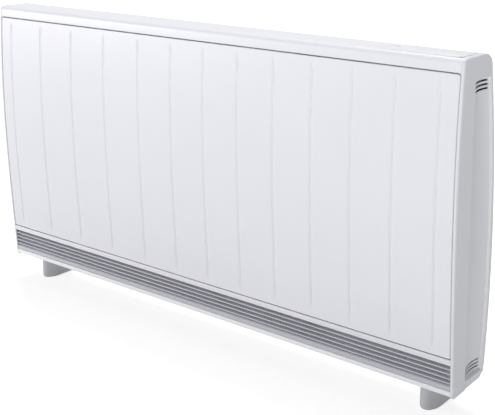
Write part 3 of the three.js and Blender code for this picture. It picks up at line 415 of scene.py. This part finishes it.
frontPanel = {
    "edge": 1.6, "cornerRadius": 5.5, "returnY": -50.0, "wall": 1.2,
    "creaseX": (-500.3, -409.0, -317.4, -224.7, -132.9, -49.4, 29.2,
                107.8, 186.3, 264.9, 343.5, 422.1, 500.7),
    "creaseHalf": 3.2, "creaseDepth": 2.5, "creasePower": 1.5,
    "creaseZ": (119.0, 556.0), "creaseFade": (24.0, 20.0),
    "creaseSteps": (0.0, 0.18, 0.4, 0.7, 1.0, 1.3, 2.2),   # columns beside a crease, in creaseHalf
    "borderX": (514.0, 520.0, 525.0), "borderGap": 1.4,    # columns near the ends
    "endFlare": 0.7, "squeezeFrom": 510.0,
}


# Face y = front(z) + depth * (1 - |dx| / half) ** power at each crease;
# its rim turns back in a quarter circle.
def makeFrontPanel(p):
    low, high = boxOf("front_panel")
    half, z0, z1 = high[0] - p["edge"], low[2] + p["edge"], high[2] - p["edge"]
    beside = p["creaseHalf"] * np.array(p["creaseSteps"])
    steps = np.concatenate([-beside, beside])
    creases = np.array(p["creaseX"])
    borders = np.array([*p["borderX"], half - p["borderGap"], half])
    x = np.unique(np.concatenate([(creases[:, None] + steps).ravel(), borders, -borders]))
    radius = p["cornerRadius"] - p["edge"]
    corner = z1 - radius * np.linspace(0.0, 1.0, 7) ** 2
    ends = np.concatenate([p["creaseZ"][0] + p["creaseFade"][0] * np.linspace(0, 1, 8),
                           p["creaseZ"][1] - p["creaseFade"][1] * np.linspace(0, 1, 8)])
    z = np.unique(np.round(np.concatenate([np.linspace(z0, z1, 56), corner, ends]), 3))
    edgeX = half - cornerPull(z1 - z, radius)
    grid = np.empty((len(z), len(x), 3))
    squeeze = np.clip((np.abs(x) - p["squeezeFrom"]) / (half - p["squeezeFrom"]), 0.0, 1.0)
    grid[..., 0] = np.sign(x) * (np.minimum(np.abs(x), p["squeezeFrom"])
                                 + squeeze * (edgeX[:, None] - p["squeezeFrom"]))
    grid[..., 2] = z[:, None]
    fade = ease((z - p["creaseZ"][0]) / p["creaseFade"][0]) * ease((p["creaseZ"][1] - z) / p["creaseFade"][1])
    width = p["creaseHalf"] * (1.0 + p["endFlare"] * (1.0 - fade))[:, None, None]
    offset = np.abs(x[None, :, None] - creases) / width
    dip = ((1.0 - np.clip(offset, 0.0, 1.0)) ** p["creasePower"]).max(axis=2)
    grid[..., 1] = frontAt(z)[:, None] + p["creaseDepth"] * fade[:, None] * dip
    points, faces = foldedRim(grid, 1, -1.0, p["edge"], p["returnY"])
    layPiece("frontPanelFace", (points, faces), "casingWhite", ["front_panel"],
             outward=(0, -1, 0), wall=p["wall"])


makeFrontPanel(frontPanel)
print("front panel made")

topCover = {
    "half": 532.4, "low": 564.1, "rearLow": 541.0, "frontRadius": 9.0, "rearRadius": 24.0, "wall": 1.5,
    "endRound": 0.7, "filletReach": 4.5, "filletShare": (1.0, 1.0, 1.0, 0.45), "rollIn": 0.8,
    "lip": ((3.0, 0.4), (0.7, 0.1), (0.15, 0.25)),         # back from the front and up, inner edge first
    "openingX": (385.1, 525.9), "openingY": (-47.1, 3.2),
    "rearSteps": (0.0, 0.012, 0.025, 0.04, 0.08, 0.15, 0.25, 0.35, 0.5, 0.65, 0.8, 0.9, 1.0),
    "rimSteps": (1.6, 1.0, 0.5, 0.2, 0.0), "sideSteps": (1.0, 0.5, 0.2, 0.0),
    "endSteps": (7.0, 5.5, 4.0, 2.5, 1.4, 0.7, 0.3, 0.0), "stripSteps": (0.2, 0.5, 1.0, 1.8),
    "cornerSpan": 8.2, "farLeft": -500.0, "topReach": 8.0,
    "notch": {"centre": (523.5, -46.5), "radius": 5.0, "blend": 10.0},
}


# Pushes points off a round notch at the opening's corner: r' = R + (r - r0) * (blend - R) / (blend - r0).
def notchPush(x, y, c):
    notch = c["notch"]
    dx, dy = x - notch["centre"][0], y - notch["centre"][1]
    r = np.hypot(dx, dy) + 1e-9
    toFront = (notch["centre"][1] - c["openingY"][0]) / np.maximum(-dy / r, 1e-6)
    toSide = (c["openingX"][1] - notch["centre"][0]) / np.maximum(dx / r, 1e-6)
    edge = np.minimum(np.minimum(toFront, toSide), notch["radius"])
    grow = (notch["blend"] - notch["radius"]) / (notch["blend"] - edge)
    pushed = np.where((r < notch["blend"]) & (r >= edge - 1e-6), notch["radius"] + (r - edge) * grow, r)
    return notch["centre"][0] + dx / r * pushed, notch["centre"][1] + dy / r * pushed


# The cover's side view, from the lip above the panel over the top and down the back, carried along x.
def makeTopCover(c):
    top, low = casing["top"], c["low"]
    t = np.linspace(0.0, 1.0, 9)
    frontTop, rearTop = float(frontAt(top)), float(rearAt(top))
    start, end = top - c["frontRadius"], frontTop + c["frontRadius"]
    frontBend = np.stack([(1 - t) ** 2 * frontAt(start) + 2 * t * (1 - t) * frontTop + t ** 2 * end,
                          (1 - t) ** 2 * start + (1 - (1 - t) ** 2) * top], axis=1)
    rise = np.linspace(low, start, 5)[:-1]
    face = np.stack([frontAt(rise), rise], axis=1)
    u = np.array(c["rearSteps"])
    drop = top - c["rearRadius"]
    bendStart = rearTop - c["rearRadius"]
    rearBend = np.stack([(1 - u) ** 2 * bendStart + (1 - (1 - u) ** 2) * rearTop,
                         (1 - u ** 2) * top + u ** 2 * drop], axis=1)
    y0, y1 = c["openingY"]
    flatY = np.concatenate([y0 - np.array(c["rimSteps"]), np.linspace(y0 + 4, bendStart - 6, 8)])
    flat = np.stack([flatY, np.full(len(flatY), top)], axis=1)
    rearBend[2, 0] = y1                                    # this row is the opening's rear edge
    back = np.array([[rearAt(c["rearLow"]), c["rearLow"]]])
    lip = np.array([frontAt(low), low]) + np.array(c["lip"])
    profile = np.concatenate([lip, face[1:], frontBend, flat, rearBend, back])
    x0, x1 = c["openingX"]
    half = c["half"]
    sideX = half - np.array(c["endSteps"])
    rightX = np.concatenate([np.linspace(x1 - c["cornerSpan"], x1, 9), x1 + np.array(c["stripSteps"])])
    x = np.unique(np.concatenate([np.linspace(c["farLeft"], x0 - 12, 30), x0 - np.array(c["sideSteps"]),
                                  np.linspace(x0 + 6, x1 - 12, 12), rightX, sideX[sideX > x1 + 2], -sideX]))
    grid = np.empty((len(profile), len(x), 3))
    grid[..., 0] = x
    grid[..., 1:] = profile[:, None, :]
    onTop = (grid[..., 2] > start) & (grid[..., 1] < bendStart + c["topReach"])
    px, py = notchPush(grid[..., 0], grid[..., 1], c)
    grid[..., 0] = np.where(onTop, px, grid[..., 0])
    grid[..., 1] = np.where(onTop, py, grid[..., 1])
    order = np.concatenate([frontBend, flat, rearBend])
    grid[..., 2] = np.where(onTop, np.interp(grid[..., 1], order[:, 0], order[:, 1]), grid[..., 2])
    outX = np.maximum(x0 - grid[..., 0], grid[..., 0] - x1)
    outY = np.maximum(y0 - grid[..., 1], grid[..., 1] - y1)
    gapTo = np.maximum(outX, outY)
    grid[..., 2] -= np.where(onTop, c["rollIn"] * (1.0 - ease(np.maximum(gapTo, 0.0))), 0.0)
    endPull = c["endRound"] * (1.0 - np.sqrt(np.clip((half - np.abs(x)) / c["endRound"], 0.0, 1.0))) ** 2
    along = np.gradient(profile, axis=0)
    inward = np.stack([along[:, 1], -along[:, 0]], axis=1) / np.linalg.norm(along, axis=1, keepdims=True)
    grid[..., 1:] += endPull[None, :, None] * inward[:, None, :]
    reach = c["filletReach"]
    arc = reach - np.sqrt(np.clip(reach ** 2 - np.clip(np.abs(x) - half + reach, 0.0, reach) ** 2, 0.0, None))
    share = np.array(c["filletShare"])
    grid[:len(share), :, 2] -= arc * share[:, None]
    rowY, columnX = profile[:, 0], x
    middleY, middleX = (rowY[:-1] + rowY[1:]) / 2, (columnX[:-1] + columnX[1:]) / 2
    level = (profile[:-1, 1] > start) & (profile[1:, 1] > start)
    keep = ~((level & (middleY > y0) & (middleY < y1))[:, None] & ((middleX > x0) & (middleX < x1))[None])
    faces = gridFaces(len(profile), len(x), keep=keep)
    layPiece("topCoverShell", (grid.reshape(-1, 3), faces), "casingWhite", ["top_cover"],
             outward=(0, 0, 1), wall=c["wall"])


makeTopCover(topCover)
print("top cover made")

endCap = {
    "side": 538.0, "frontInner": 532.8, "rearInner": 524.0, "backPlane": 34.5, "bottom": 46.0, "edge": 2.5,
    "lowFront": 7.0, "highFront": 9.0, "lowRear": 22.0, "highRear": 24.0, "wall": 2.2,
    "recess": {"front": -26.0, "rearInset": (15.0, 9.0), "bottom": 62.0, "top": 549.0, "depth": 7.6,
               "deepestAt": 0.6, "wallRun": 0.9, "endRun": 3.0, "rearLean": 0.16,
               "edgeSteps": (-0.8, -0.2, 0.4, 0.9),        # columns at its front edge
               "floorSteps": (2.4, 3.6, 5.2, 7.5, 11.0, 17.0), "rearSteps": (-1.2, -0.5, 0.0, 0.3, 0.6)},
    "louvres": {"topZ": (542.5, 536.0, 529.5), "topHalf": 1.7, "bottomZ": (81.0, 75.0, 69.0),
                "bottomHalf": 1.5, "frontInset": 1.2, "rearInset": 2.2},
    "rebate": {"top": 56.0, "y": (-22.0, 37.0), "depth": 1.6, "run": 0.8, "steps": (-0.4, 0.0, 0.6)},
    "rows": (88.0, 524.0, 34), "flangeColumns": 5,
}


# Side x = side - depth * u * (2 * deepestAt - u) / deepestAt squared, u from 0 to 1 across the hollow;
# behind the hollow's rear wall the side leans in by rearLean for each unit of y.
def makeEndCap(c, hand, node):
    r, l, b = c["recess"], c["louvres"], c["rebate"]
    low, high = c["bottom"] + c["edge"], casing["top"] - c["edge"]
    radii = {k: c[k] - c["edge"] for k in ("lowFront", "highFront", "lowRear", "highRear")}
    t = np.linspace(0.0, 1.0, 11) ** 2
    corners = [low + radii["lowFront"] * t, low + radii["lowRear"] * t,
               high - radii["highFront"] * t, high - radii["highRear"] * t]
    ramp = r["endRun"] * np.linspace(-0.15, 1.1, 8)
    slots = [np.array(l["topZ"])[:, None] + l["topHalf"] * np.array([-1.0, 1.0]),
             np.array(l["bottomZ"])[:, None] + l["bottomHalf"] * np.array([-1.0, 1.0])]
    z = np.unique(np.round(np.concatenate([
        *corners, r["bottom"] + ramp, r["top"] - ramp, slots[0].ravel(), slots[1].ravel(),
        b["top"] + np.array([-b["run"], *b["steps"]]), np.linspace(*c["rows"])]), 3))

    # Front and rear border of the flat side: the casing's outline less the edge and the corners' pull.
    def edges(height):
        front = frontAt(height) + c["edge"] + cornerPull(height - low, radii["lowFront"])
        front = front + cornerPull(high - height, radii["highFront"])
        rear = rearAt(height) - c["edge"] - cornerPull(height - low, radii["lowRear"])
        return front, rear - cornerPull(high - height, radii["highRear"])

    held = np.clip(z, r["bottom"], r["top"])
    heldFront, heldRear = edges(held)
    foot = rearAt(held) - np.interp(held, (r["bottom"], r["top"]), r["rearInset"])
    louvreEnd = foot - l["rearInset"]
    fixed = r["front"] + np.array([*r["edgeSteps"], l["frontInset"], *r["floorSteps"]])
    flange = np.linspace(0, 1, c["flangeColumns"] + 1)[:-1]
    rows = [heldFront + f * (fixed[0] - heldFront) for f in flange]
    rows += [np.full(len(z), value) for value in fixed]
    rows += [fixed[-1] + f * (louvreEnd - fixed[-1]) for f in np.linspace(0, 1, 8)[1:]]
    startColumn, endColumn = len(flange) + len(r["edgeSteps"]), len(rows) - 1   # the louvres' ends
    rows += [foot + d for d in (*r["rearSteps"], r["wallRun"], r["wallRun"] + 0.6)]
    wallTop = rows[-1]
    rows += [wallTop + f * (heldRear - wallTop) for f in np.linspace(0, 1, 6)[1:]]
    heldY = np.stack(rows, axis=1)
    part = (heldY - heldFront[:, None]) / (heldRear - heldFront)[:, None]
    front, rear = edges(z)
    y = front[:, None] + part * (rear - front)[:, None]
    u = np.clip((y - r["front"]) / (foot[:, None] - r["front"]), 0.0, 1.0)
    depth = r["depth"] * u * (2.0 * r["deepestAt"] - u) / r["deepestAt"] ** 2
    depth = depth * ease((foot[:, None] + r["wallRun"] - y) / r["wallRun"])
    depth = depth * (ease((z - r["bottom"]) / r["endRun"]) * ease((r["top"] - z) / r["endRun"]))[:, None]
    depth = depth + r["rearLean"] * np.clip(y - foot[:, None] - r["wallRun"], 0.0, None)
    across = ease((y - b["y"][0]) / b["run"]) * ease((b["y"][1] - y) / b["run"])
    x = c["side"] - depth - b["depth"] * ease((b["top"] - z) / b["run"])[:, None] * across
    grid = np.stack([x, y, np.broadcast_to(z[:, None], y.shape)], axis=-1)
    middle = (z[:-1] + z[1:]) / 2
    inSlot = (np.abs(middle[:, None] - np.array(l["topZ"])) < l["topHalf"]).any(axis=1)
    inSlot |= (np.abs(middle[:, None] - np.array(l["bottomZ"])) < l["bottomHalf"]).any(axis=1)
    column = np.arange(y.shape[1] - 1)
    keep = ~(inSlot[:, None] & ((column >= startColumn) & (column < endColumn))[None])

    # Inner end of the rim: rearInner behind the back plane, frontInner elsewhere.
    def innerEdge(ring):
        return np.where(ring[:, 1] > c["backPlane"], c["rearInner"], c["frontInner"])

    points, faces = foldedRim(grid, 0, 1.0, c["edge"], innerEdge, holes=keep)
    points[:, 0] = np.where(points[:, 2] < b["top"] - b["run"], np.minimum(
        points[:, 0], c["side"] - b["depth"] * ease((points[:, 1] - b["y"][0]) / b["run"])
        * ease((b["y"][1] - points[:, 1]) / b["run"])), points[:, 0])
    points[:, 0] *= hand
    layPiece("endCapShell" + ("Right" if hand > 0 else "Left"), (points, faces), "capWhite", [node],
             outward=(hand, 0, 0), wall=c["wall"])


makeEndCap(endCap, 1, "end_cap_right")
makeEndCap(endCap, -1, "end_cap_left")
print("ends made")

lowTrim = {"half": 532.4, "bevel": 0.5, "baseBottom": 50.0, "lipTop": 59.25, "backY": 34.0, "rearTop": 78.0,
           "railBottom": 104.0, "railTop": 113.5, "railBack": -48.0}


# Closed side views of the base and of the rail over the grille, each carried along x.
def makeLowTrim(t):
    sheet, xs = casing["sheet"], (-t["half"], t["half"])
    zs = np.array([t["baseBottom"] + 1.2, t["lipTop"]])
    front = frontAt(zs)
    base = np.array([
        [front[0] + 1.3, t["baseBottom"]], [t["backY"], t["baseBottom"]], [t["backY"], t["rearTop"]],
        [t["backY"] - sheet, t["rearTop"]], [t["backY"] - sheet, t["baseBottom"] + sheet],
        [front[0] + sheet + 1.2, t["baseBottom"] + sheet], [front[1] + sheet, t["lipTop"]],
        [front[1], t["lipTop"]], [front[0], t["baseBottom"] + 1.3]])
    # The base takes the lightened casing paint, painted light for its brighter tone.
    layPiece("baseShell", alongX(base, xs), "trimWhiteWithPaintedLight", ["base_tray"], bevel=t["bevel"])
    z0, z1 = t["railBottom"], t["railTop"]
    rail = np.array([
        [frontAt(z0), z0], [frontAt(z1), z1], [t["railBack"], z1], [t["railBack"], z1 - sheet],
        [frontAt(z1) + sheet, z1 - sheet], [frontAt(z0) + sheet, z0]])
    layPiece("grilleRail", alongX(rail, xs), "casingWhite", ["front_rail"], bevel=t["bevel"])


makeLowTrim(lowTrim)

grille = {"half": 532.1, "bottom": 59.6, "top": 103.65, "inset": 0.8, "depth": 12.0,
          "endBar": 6.0, "setBack": 6.0, "brace": 3.0, "braceBack": 8.0, "bevel": 0.35,
          "bladeZ": (97.0, 89.0, 81.0, 73.0), "bladeRound": (0.9, 0.9, 0.5, 0.5),
          "blade": ((0, -1.6), (0, 0.6), (1, 3.4), (1, 1.8)),   # share of the depth, and up
          "lipTop": 69.0, "noseDrop": 2.0, "lipNose": ((-0.2, -2.6), (1.6, -0.7), (5.0, 0.0))}


# A deep lip and four sloping blades with rounded fronts between two end bars.
def makeGrille(g):
    half, depth = g["half"], g["depth"]

    # Front of the grille at height z, set back from the casing's front.
    def face(z):
        return float(frontAt(z)) + g["inset"]

    z0, z1 = g["bottom"], g["top"]
    nose = face(g["lipTop"] - g["noseDrop"])
    lip = [[face(z0), z0], *[[nose + behind, g["lipTop"] + up] for behind, up in g["lipNose"]],
           [nose + depth, g["lipTop"]], [face(z0) + depth, z0]]
    parts = [alongX(np.array(lip), (-half, half))]
    for z in g["bladeZ"]:
        blade = [[face(z) + share * depth, z + up] for share, up in g["blade"]]
        parts.append(alongX(roundedLoop(blade, g["bladeRound"]), (-half, half)))
    rear = face(z0) + depth
    for x0 in (-half, half - g["endBar"]):
        parts.append(block((x0, face(z0) + g["setBack"], z0), (x0 + g["endBar"], rear, z1)))
    parts.append(block((-g["brace"], face(z0) + g["braceBack"], z0), (g["brace"], rear, z1)))
    layPiece("grilleBlades", gather(parts), "grilleGrey", ["outlet_grille"], bevel=g["bevel"])


makeGrille(grille)
print("grille and trim made")

foot = {"width": 35.0, "nose": 28.0, "rearRadius": 10.0, "sole": 3.0, "top": 49.65, "noseSteps": 49}


# Outline with a half-ellipse nose, drawn in by sole * (1 - sin a) while it rises by sole * (1 - cos a).
def makeFoot(f, node, name):
    low, high = boxOf(node)
    middle, half = (low[0] + high[0]) / 2, f["width"] / 2
    angle = np.linspace(np.pi, 2 * np.pi, f["noseSteps"])
    corner = np.linspace(0.0, np.pi / 2, 9)
    noseY, rearY, r = low[1] + f["nose"], high[1] - f["rearRadius"], f["rearRadius"]
    nose = np.stack([half * np.cos(angle), noseY + f["nose"] * np.sin(angle)], axis=1)
    right = np.stack([half - r + r * np.cos(corner), rearY + r * np.sin(corner)], axis=1)
    left = np.stack([-half + r - r * np.sin(corner), rearY + r * np.cos(corner)], axis=1)
    loop = np.concatenate([nose, right, left])
    away = awayFrom(loop)
    bend = np.linspace(0.0, np.pi / 2, 7)
    inset = np.concatenate([f["sole"] * (1 - np.sin(bend)), np.zeros(3)])
    heights = np.concatenate([f["sole"] * (1 - np.cos(bend)), np.linspace(f["sole"] + 8, f["top"], 3)])
    rings = np.empty((len(heights), len(loop), 3))
    rings[..., :2] = loop - inset[:, None, None] * away
    rings[..., 0] += middle
    rings[..., 2] = heights[:, None]
    layPiece(name, (rings.reshape(-1, 3), ringFaces(len(heights), len(loop))), "footGrey", [node])


makeFoot(foot, "foot_right", "footShoeRight")
makeFoot(foot, "foot_left", "footShoeLeft")

dials = {"skirt": 17.0, "skirtTop": 566.6, "knob": 13.5, "base": 562.6, "top": 577.5,
         "ridge": 0.35, "ridges": 30, "gripHalf": (3.0, 14.5),
         "gripTop": 578.5, "pointer": (0.8, 6.4, 14.2), "bevel": 0.6}


# Skirt and ridged knob turned about the spindle, with a grip bar across and a pointer line at its front.
def makeDial(d, node, name):
    low, high = boxOf(node)
    x, y = (low[0] + high[0]) / 2, (low[1] + high[1]) / 2
    profile = [(0.0, d["base"], 0), (d["skirt"] - 0.5, d["base"], 0), (d["skirt"], d["base"] + 0.5, 0),
               (d["skirt"], d["skirtTop"] - 1.0, 0), (d["skirt"] - 0.3, d["skirtTop"] - 0.3, 0),
               (d["skirt"] - 1.0, d["skirtTop"], 0), (d["knob"] + 0.6, d["skirtTop"], 0),
               (d["knob"], d["skirtTop"] + 0.6, 0.2 * d["ridge"]),
               (d["knob"] - 0.4, d["skirtTop"] + 1.6, d["ridge"]),
               (d["knob"] - 0.4, d["top"] - 2.0, d["ridge"]),
               (d["knob"] - 0.8, d["top"] - 0.8, 0.4 * d["ridge"]),
               (d["knob"] - 1.8, d["top"] - 0.2, 0), (d["knob"] - 3.0, d["top"], 0), (0.0, d["top"], 0)]
    knob = turned((x, y), profile, sides=180, count=d["ridges"])
    wide, long = d["gripHalf"]
    grip = block((x - wide, y - long, d["skirtTop"] - 0.2), (x + wide, y + long, d["gripTop"]))
    layPiece(name, gather([knob, grip]), "dialGrey", [node], bevel=d["bevel"], crisp=40)
    across, near, far = d["pointer"]
    line = block((x - across, y - far, d["gripTop"] - 0.25), (x + across, y - near, d["gripTop"] + 0.06))
    layPiece(name + "Pointer", line, "markGrey", [node], replaced=False)


makeDial(dials, "charge_dial", "chargeKnob")
makeDial(dials, "room_heat_dial", "roomHeatKnob")

scale = {"numbers": 6, "first": -90.0, "step": -54.0, "radius": 20.4,
         "height": 3.6, "floor": 562.0, "proud": 0.12}


# Plain numbers 1 to 6 on the well floor round each dial, at angle first + step * (n - 1).
def makeNumbers(s):
    parts = []
    for node in ("charge_dial", "room_heat_dial"):
        low, high = boxOf(node)
        for n in range(s["numbers"]):
            letters = bpy.data.curves.new("number", "FONT")
            letters.body = str(n + 1)
            letters.size = s["height"] / perMetre
            letters.align_x, letters.align_y = "CENTER", "CENTER"
            letters.extrude = s["proud"] / perMetre
            holder = bpy.data.objects.new("number", letters)
            bpy.context.scene.collection.objects.link(holder)
            seen = holder.evaluated_get(bpy.context.evaluated_depsgraph_get())
            made = bpy.data.meshes.new_from_object(seen)
            points = np.empty(len(made.vertices) * 3)
            made.vertices.foreach_get("co", points)
            angle = np.radians(s["first"] + s["step"] * n)
            place = np.array([(low[0] + high[0]) / 2 + s["radius"] * np.cos(angle),
                              (low[1] + high[1]) / 2 + s["radius"] * np.sin(angle), s["floor"]])
            faces = [list(f.vertices) for f in made.polygons]
            parts.append((points.reshape(-1, 3) * perMetre + place, faces))
            bpy.data.objects.remove(holder)
    layPiece("dialNumbers", gather(parts), "markGrey", ["control_well"], replaced=False)


makeNumbers(scale)
softened("control_well", "controlTray", 0.4)
softened("control_lid", "controlLidFlap", 0.8)
softened("boost_button", "boostCap", 0.7)
print("controls made")

back = {"emboss": 1.2, "run": 4.0, "wall": 1.2, "panes": ((-500, -190), (-160, 160), (190, 500)),
        "z": (120, 440), "gland": (470.0, 92.0, 8.3)}


# Flat back with three shallow pressed panes:
# y = back - emboss * product of eased distances to a pane's sides.
def makeBack(b):
    low, high = boxOf("back_panel")
    runs = np.linspace(-0.1, 1.1, 7) * b["run"]
    xs = [np.concatenate([x0 + runs, x1 - runs]) for x0, x1 in b["panes"]]
    gx, gz, gr = b["gland"]
    around = np.array([-1.0, 1.0]) * gr
    x = np.unique(np.concatenate([[low[0], high[0]], *xs, gx + around]))
    z = np.unique(np.concatenate([[low[2], high[2]], b["z"][0] + runs, b["z"][1] - runs, gz + around]))
    gridX, gridZ = np.meshgrid(x, z)
    side = [ease((gridX - x0) / b["run"]) * ease((x1 - gridX) / b["run"]) for x0, x1 in b["panes"]]
    level = ease((gridZ - b["z"][0]) / b["run"]) * ease((b["z"][1] - gridZ) / b["run"])
    grid = np.stack([gridX, high[1] - b["emboss"] * np.max(side, axis=0) * level, gridZ], axis=-1)
    middleX, middleZ = (x[:-1] + x[1:]) / 2, (z[:-1] + z[1:]) / 2
    keep = ~((np.abs(middleZ - gz) < gr)[:, None] & (np.abs(middleX - gx) < gr)[None])
    faces = gridFaces(len(z), len(x), keep=keep)
    layPiece("backSheet", (grid.reshape(-1, 3), faces), "galvanised", ["back_panel"],
             outward=(0, 1, 0), wall=b["wall"])


makeBack(back)

screws = {"radius": 3.6, "height": 1.9, "slot": 0.55, "slotReach": 2.3, "slotDepth": 1.1,
          "places": tuple((x, z) for z in (95, 525) for x in (-505, -255, 0, 255, 505)), "plane": 34.0}


# Domed heads facing +Y, height * sqrt(1 - rr), less a cross recess that fades out at its reach.
def makeScrews(s):
    ring = np.concatenate([np.linspace(0.0, 0.72, 14)[1:], [0.8, 0.88, 0.94, 0.98, 1.0]])
    angle = np.linspace(0.0, 2 * np.pi, 48, endpoint=False)
    rx = s["radius"] * ring[:, None] * np.cos(angle)
    rz = s["radius"] * ring[:, None] * np.sin(angle)
    dome = s["height"] * np.sqrt(np.clip(1.0 - ring[:, None] ** 2, 0.0, 1.0)) + 0.0 * rx
    arm = np.maximum(ease((s["slot"] - np.abs(rx)) / 0.3 + 0.5), ease((s["slot"] - np.abs(rz)) / 0.3 + 0.5))
    dome -= s["slotDepth"] * arm * ease((s["slotReach"] - np.hypot(rx, rz)) / 0.4 + 0.5)
    faces = ringFaces(len(ring), len(angle))
    parts = [(np.stack([x + rx, s["plane"] + 0.05 + dome, z + rz], axis=-1).reshape(-1, 3), faces)
             for x, z in s["places"]]
    layPiece("backScrews", gather(parts), "zincScrew", ["back_panel"], replaced=False)


makeScrews(screws)
for side in ("Right", "Left"):
    softened("wall_bracket_" + side.lower(), "wallBracket" + side, 0.35)
    softened("bracket_screw_" + side.lower(), "bracketScrew" + side, 0.5)
softened("cable_gland", "cableGlandSleeve", 0.6)
print("back made")

stage = {"floorHalf": 6.0, "glow": 0.72, "shade": 0.60}     # the floor's half width is in metres


# True for rays that see the white of the background: camera, glossy and transmission rays.
def backgroundRay(tree):
    path = tree.nodes.new("ShaderNodeLightPath")
    glossy, seen = tree.nodes.new("ShaderNodeMath"), tree.nodes.new("ShaderNodeMath")
    glossy.operation = seen.operation = "MAXIMUM"
    tree.links.new(path.outputs["Is Camera Ray"], glossy.inputs[0])
    tree.links.new(path.outputs["Is Glossy Ray"], glossy.inputs[1])
    tree.links.new(glossy.outputs["Value"], seen.inputs[0])
    tree.links.new(path.outputs["Is Transmission Ray"], seen.inputs[1])
    return seen.outputs["Value"]


# Pale floor whose lit part reads white to the camera and whose shadow stays.
def makeStage(s):
    h = s["floorHalf"]
    mesh = bpy.data.meshes.new("floor")
    mesh.from_pydata([(-h, -h, 0), (h, -h, 0), (h, h, 0), (-h, h, 0)], [], [(0, 1, 2, 3)])
    floor = bpy.data.objects.new("floor", mesh)
    bpy.context.scene.collection.objects.link(floor)
    paint = bpy.data.materials.new("floorPaint")
    paint.use_nodes = True
    tree = paint.node_tree
    tree.nodes.clear()
    matt, glow = tree.nodes.new("ShaderNodeBsdfDiffuse"), tree.nodes.new("ShaderNodeEmission")
    matt.inputs["Color"].default_value = (s["shade"],) * 3 + (1.0,)
    glow.inputs["Color"].default_value = (1.0, 1.0, 1.0, 1.0)
    strength = tree.nodes.new("ShaderNodeMath")
    strength.operation = "MULTIPLY"
    strength.inputs[1].default_value = s["glow"]
    tree.links.new(backgroundRay(tree), strength.inputs[0])
    tree.links.new(strength.outputs["Value"], glow.inputs["Strength"])
    both, out = tree.nodes.new("ShaderNodeAddShader"), tree.nodes.new("ShaderNodeOutputMaterial")
    tree.links.new(matt.outputs["BSDF"], both.inputs[0])
    tree.links.new(glow.outputs["Emission"], both.inputs[1])
    tree.links.new(both.outputs["Shader"], out.inputs["Surface"])
    mesh.materials.append(paint)


sky = {"strength": 0.26, "colour": (0.975, 0.985, 1.0)}


# Sky light of an even strength for the object, plain white to the camera.
def makeSky(s):
    world = bpy.data.worlds.new("studio")
    bpy.context.scene.world = world
    world.use_nodes = True
    tree = world.node_tree
    tree.nodes.clear()
    dim, white, pick = [tree.nodes.new(kind) for kind in
                        ("ShaderNodeBackground", "ShaderNodeBackground", "ShaderNodeMixShader")]
    out = tree.nodes.new("ShaderNodeOutputWorld")
    dim.inputs["Color"].default_value = (*s["colour"], 1.0)
    dim.inputs["Strength"].default_value = s["strength"]
    white.inputs["Color"].default_value = (1.0, 1.0, 1.0, 1.0)
    tree.links.new(backgroundRay(tree), pick.inputs["Fac"])
    tree.links.new(dim.outputs["Background"], pick.inputs[1])
    tree.links.new(white.outputs["Background"], pick.inputs[2])
    tree.links.new(pick.outputs["Shader"], out.inputs["Surface"])


lamps = {
    "left": {"towards": (-0.75, -0.62, 0.12), "strength": 1.2, "spread": 14.0, "colour": (1.0, 0.995, 0.985)},
    "right": {"towards": (0.55, -0.83, 0.04), "strength": 1.3, "spread": 14.0, "colour": (0.98, 0.99, 1.0)},
    "top": {"towards": (-0.25, 0.40, 0.88), "strength": 2.2, "spread": 30.0, "colour": (0.98, 0.99, 1.0)},
}


# Far, soft lamps that light the whole width evenly; each shines from its `towards` direction.
def makeLamps(named):
    for name, lamp in named.items():
        light = bpy.data.lights.new(name + "Lamp", "SUN")
        light.energy, light.color, light.angle = lamp["strength"], lamp["colour"], radians(lamp["spread"])
        holder = bpy.data.objects.new(name + "Lamp", light)
        bpy.context.scene.collection.objects.link(holder)
        holder.rotation_euler = (-Vector(lamp["towards"])).to_track_quat("-Z", "Y").to_euler()


makeStage(stage)
makeSky(sky)
makeLamps(lamps)
bpy.context.scene.view_settings.view_transform = "Standard"
print("studio lit")
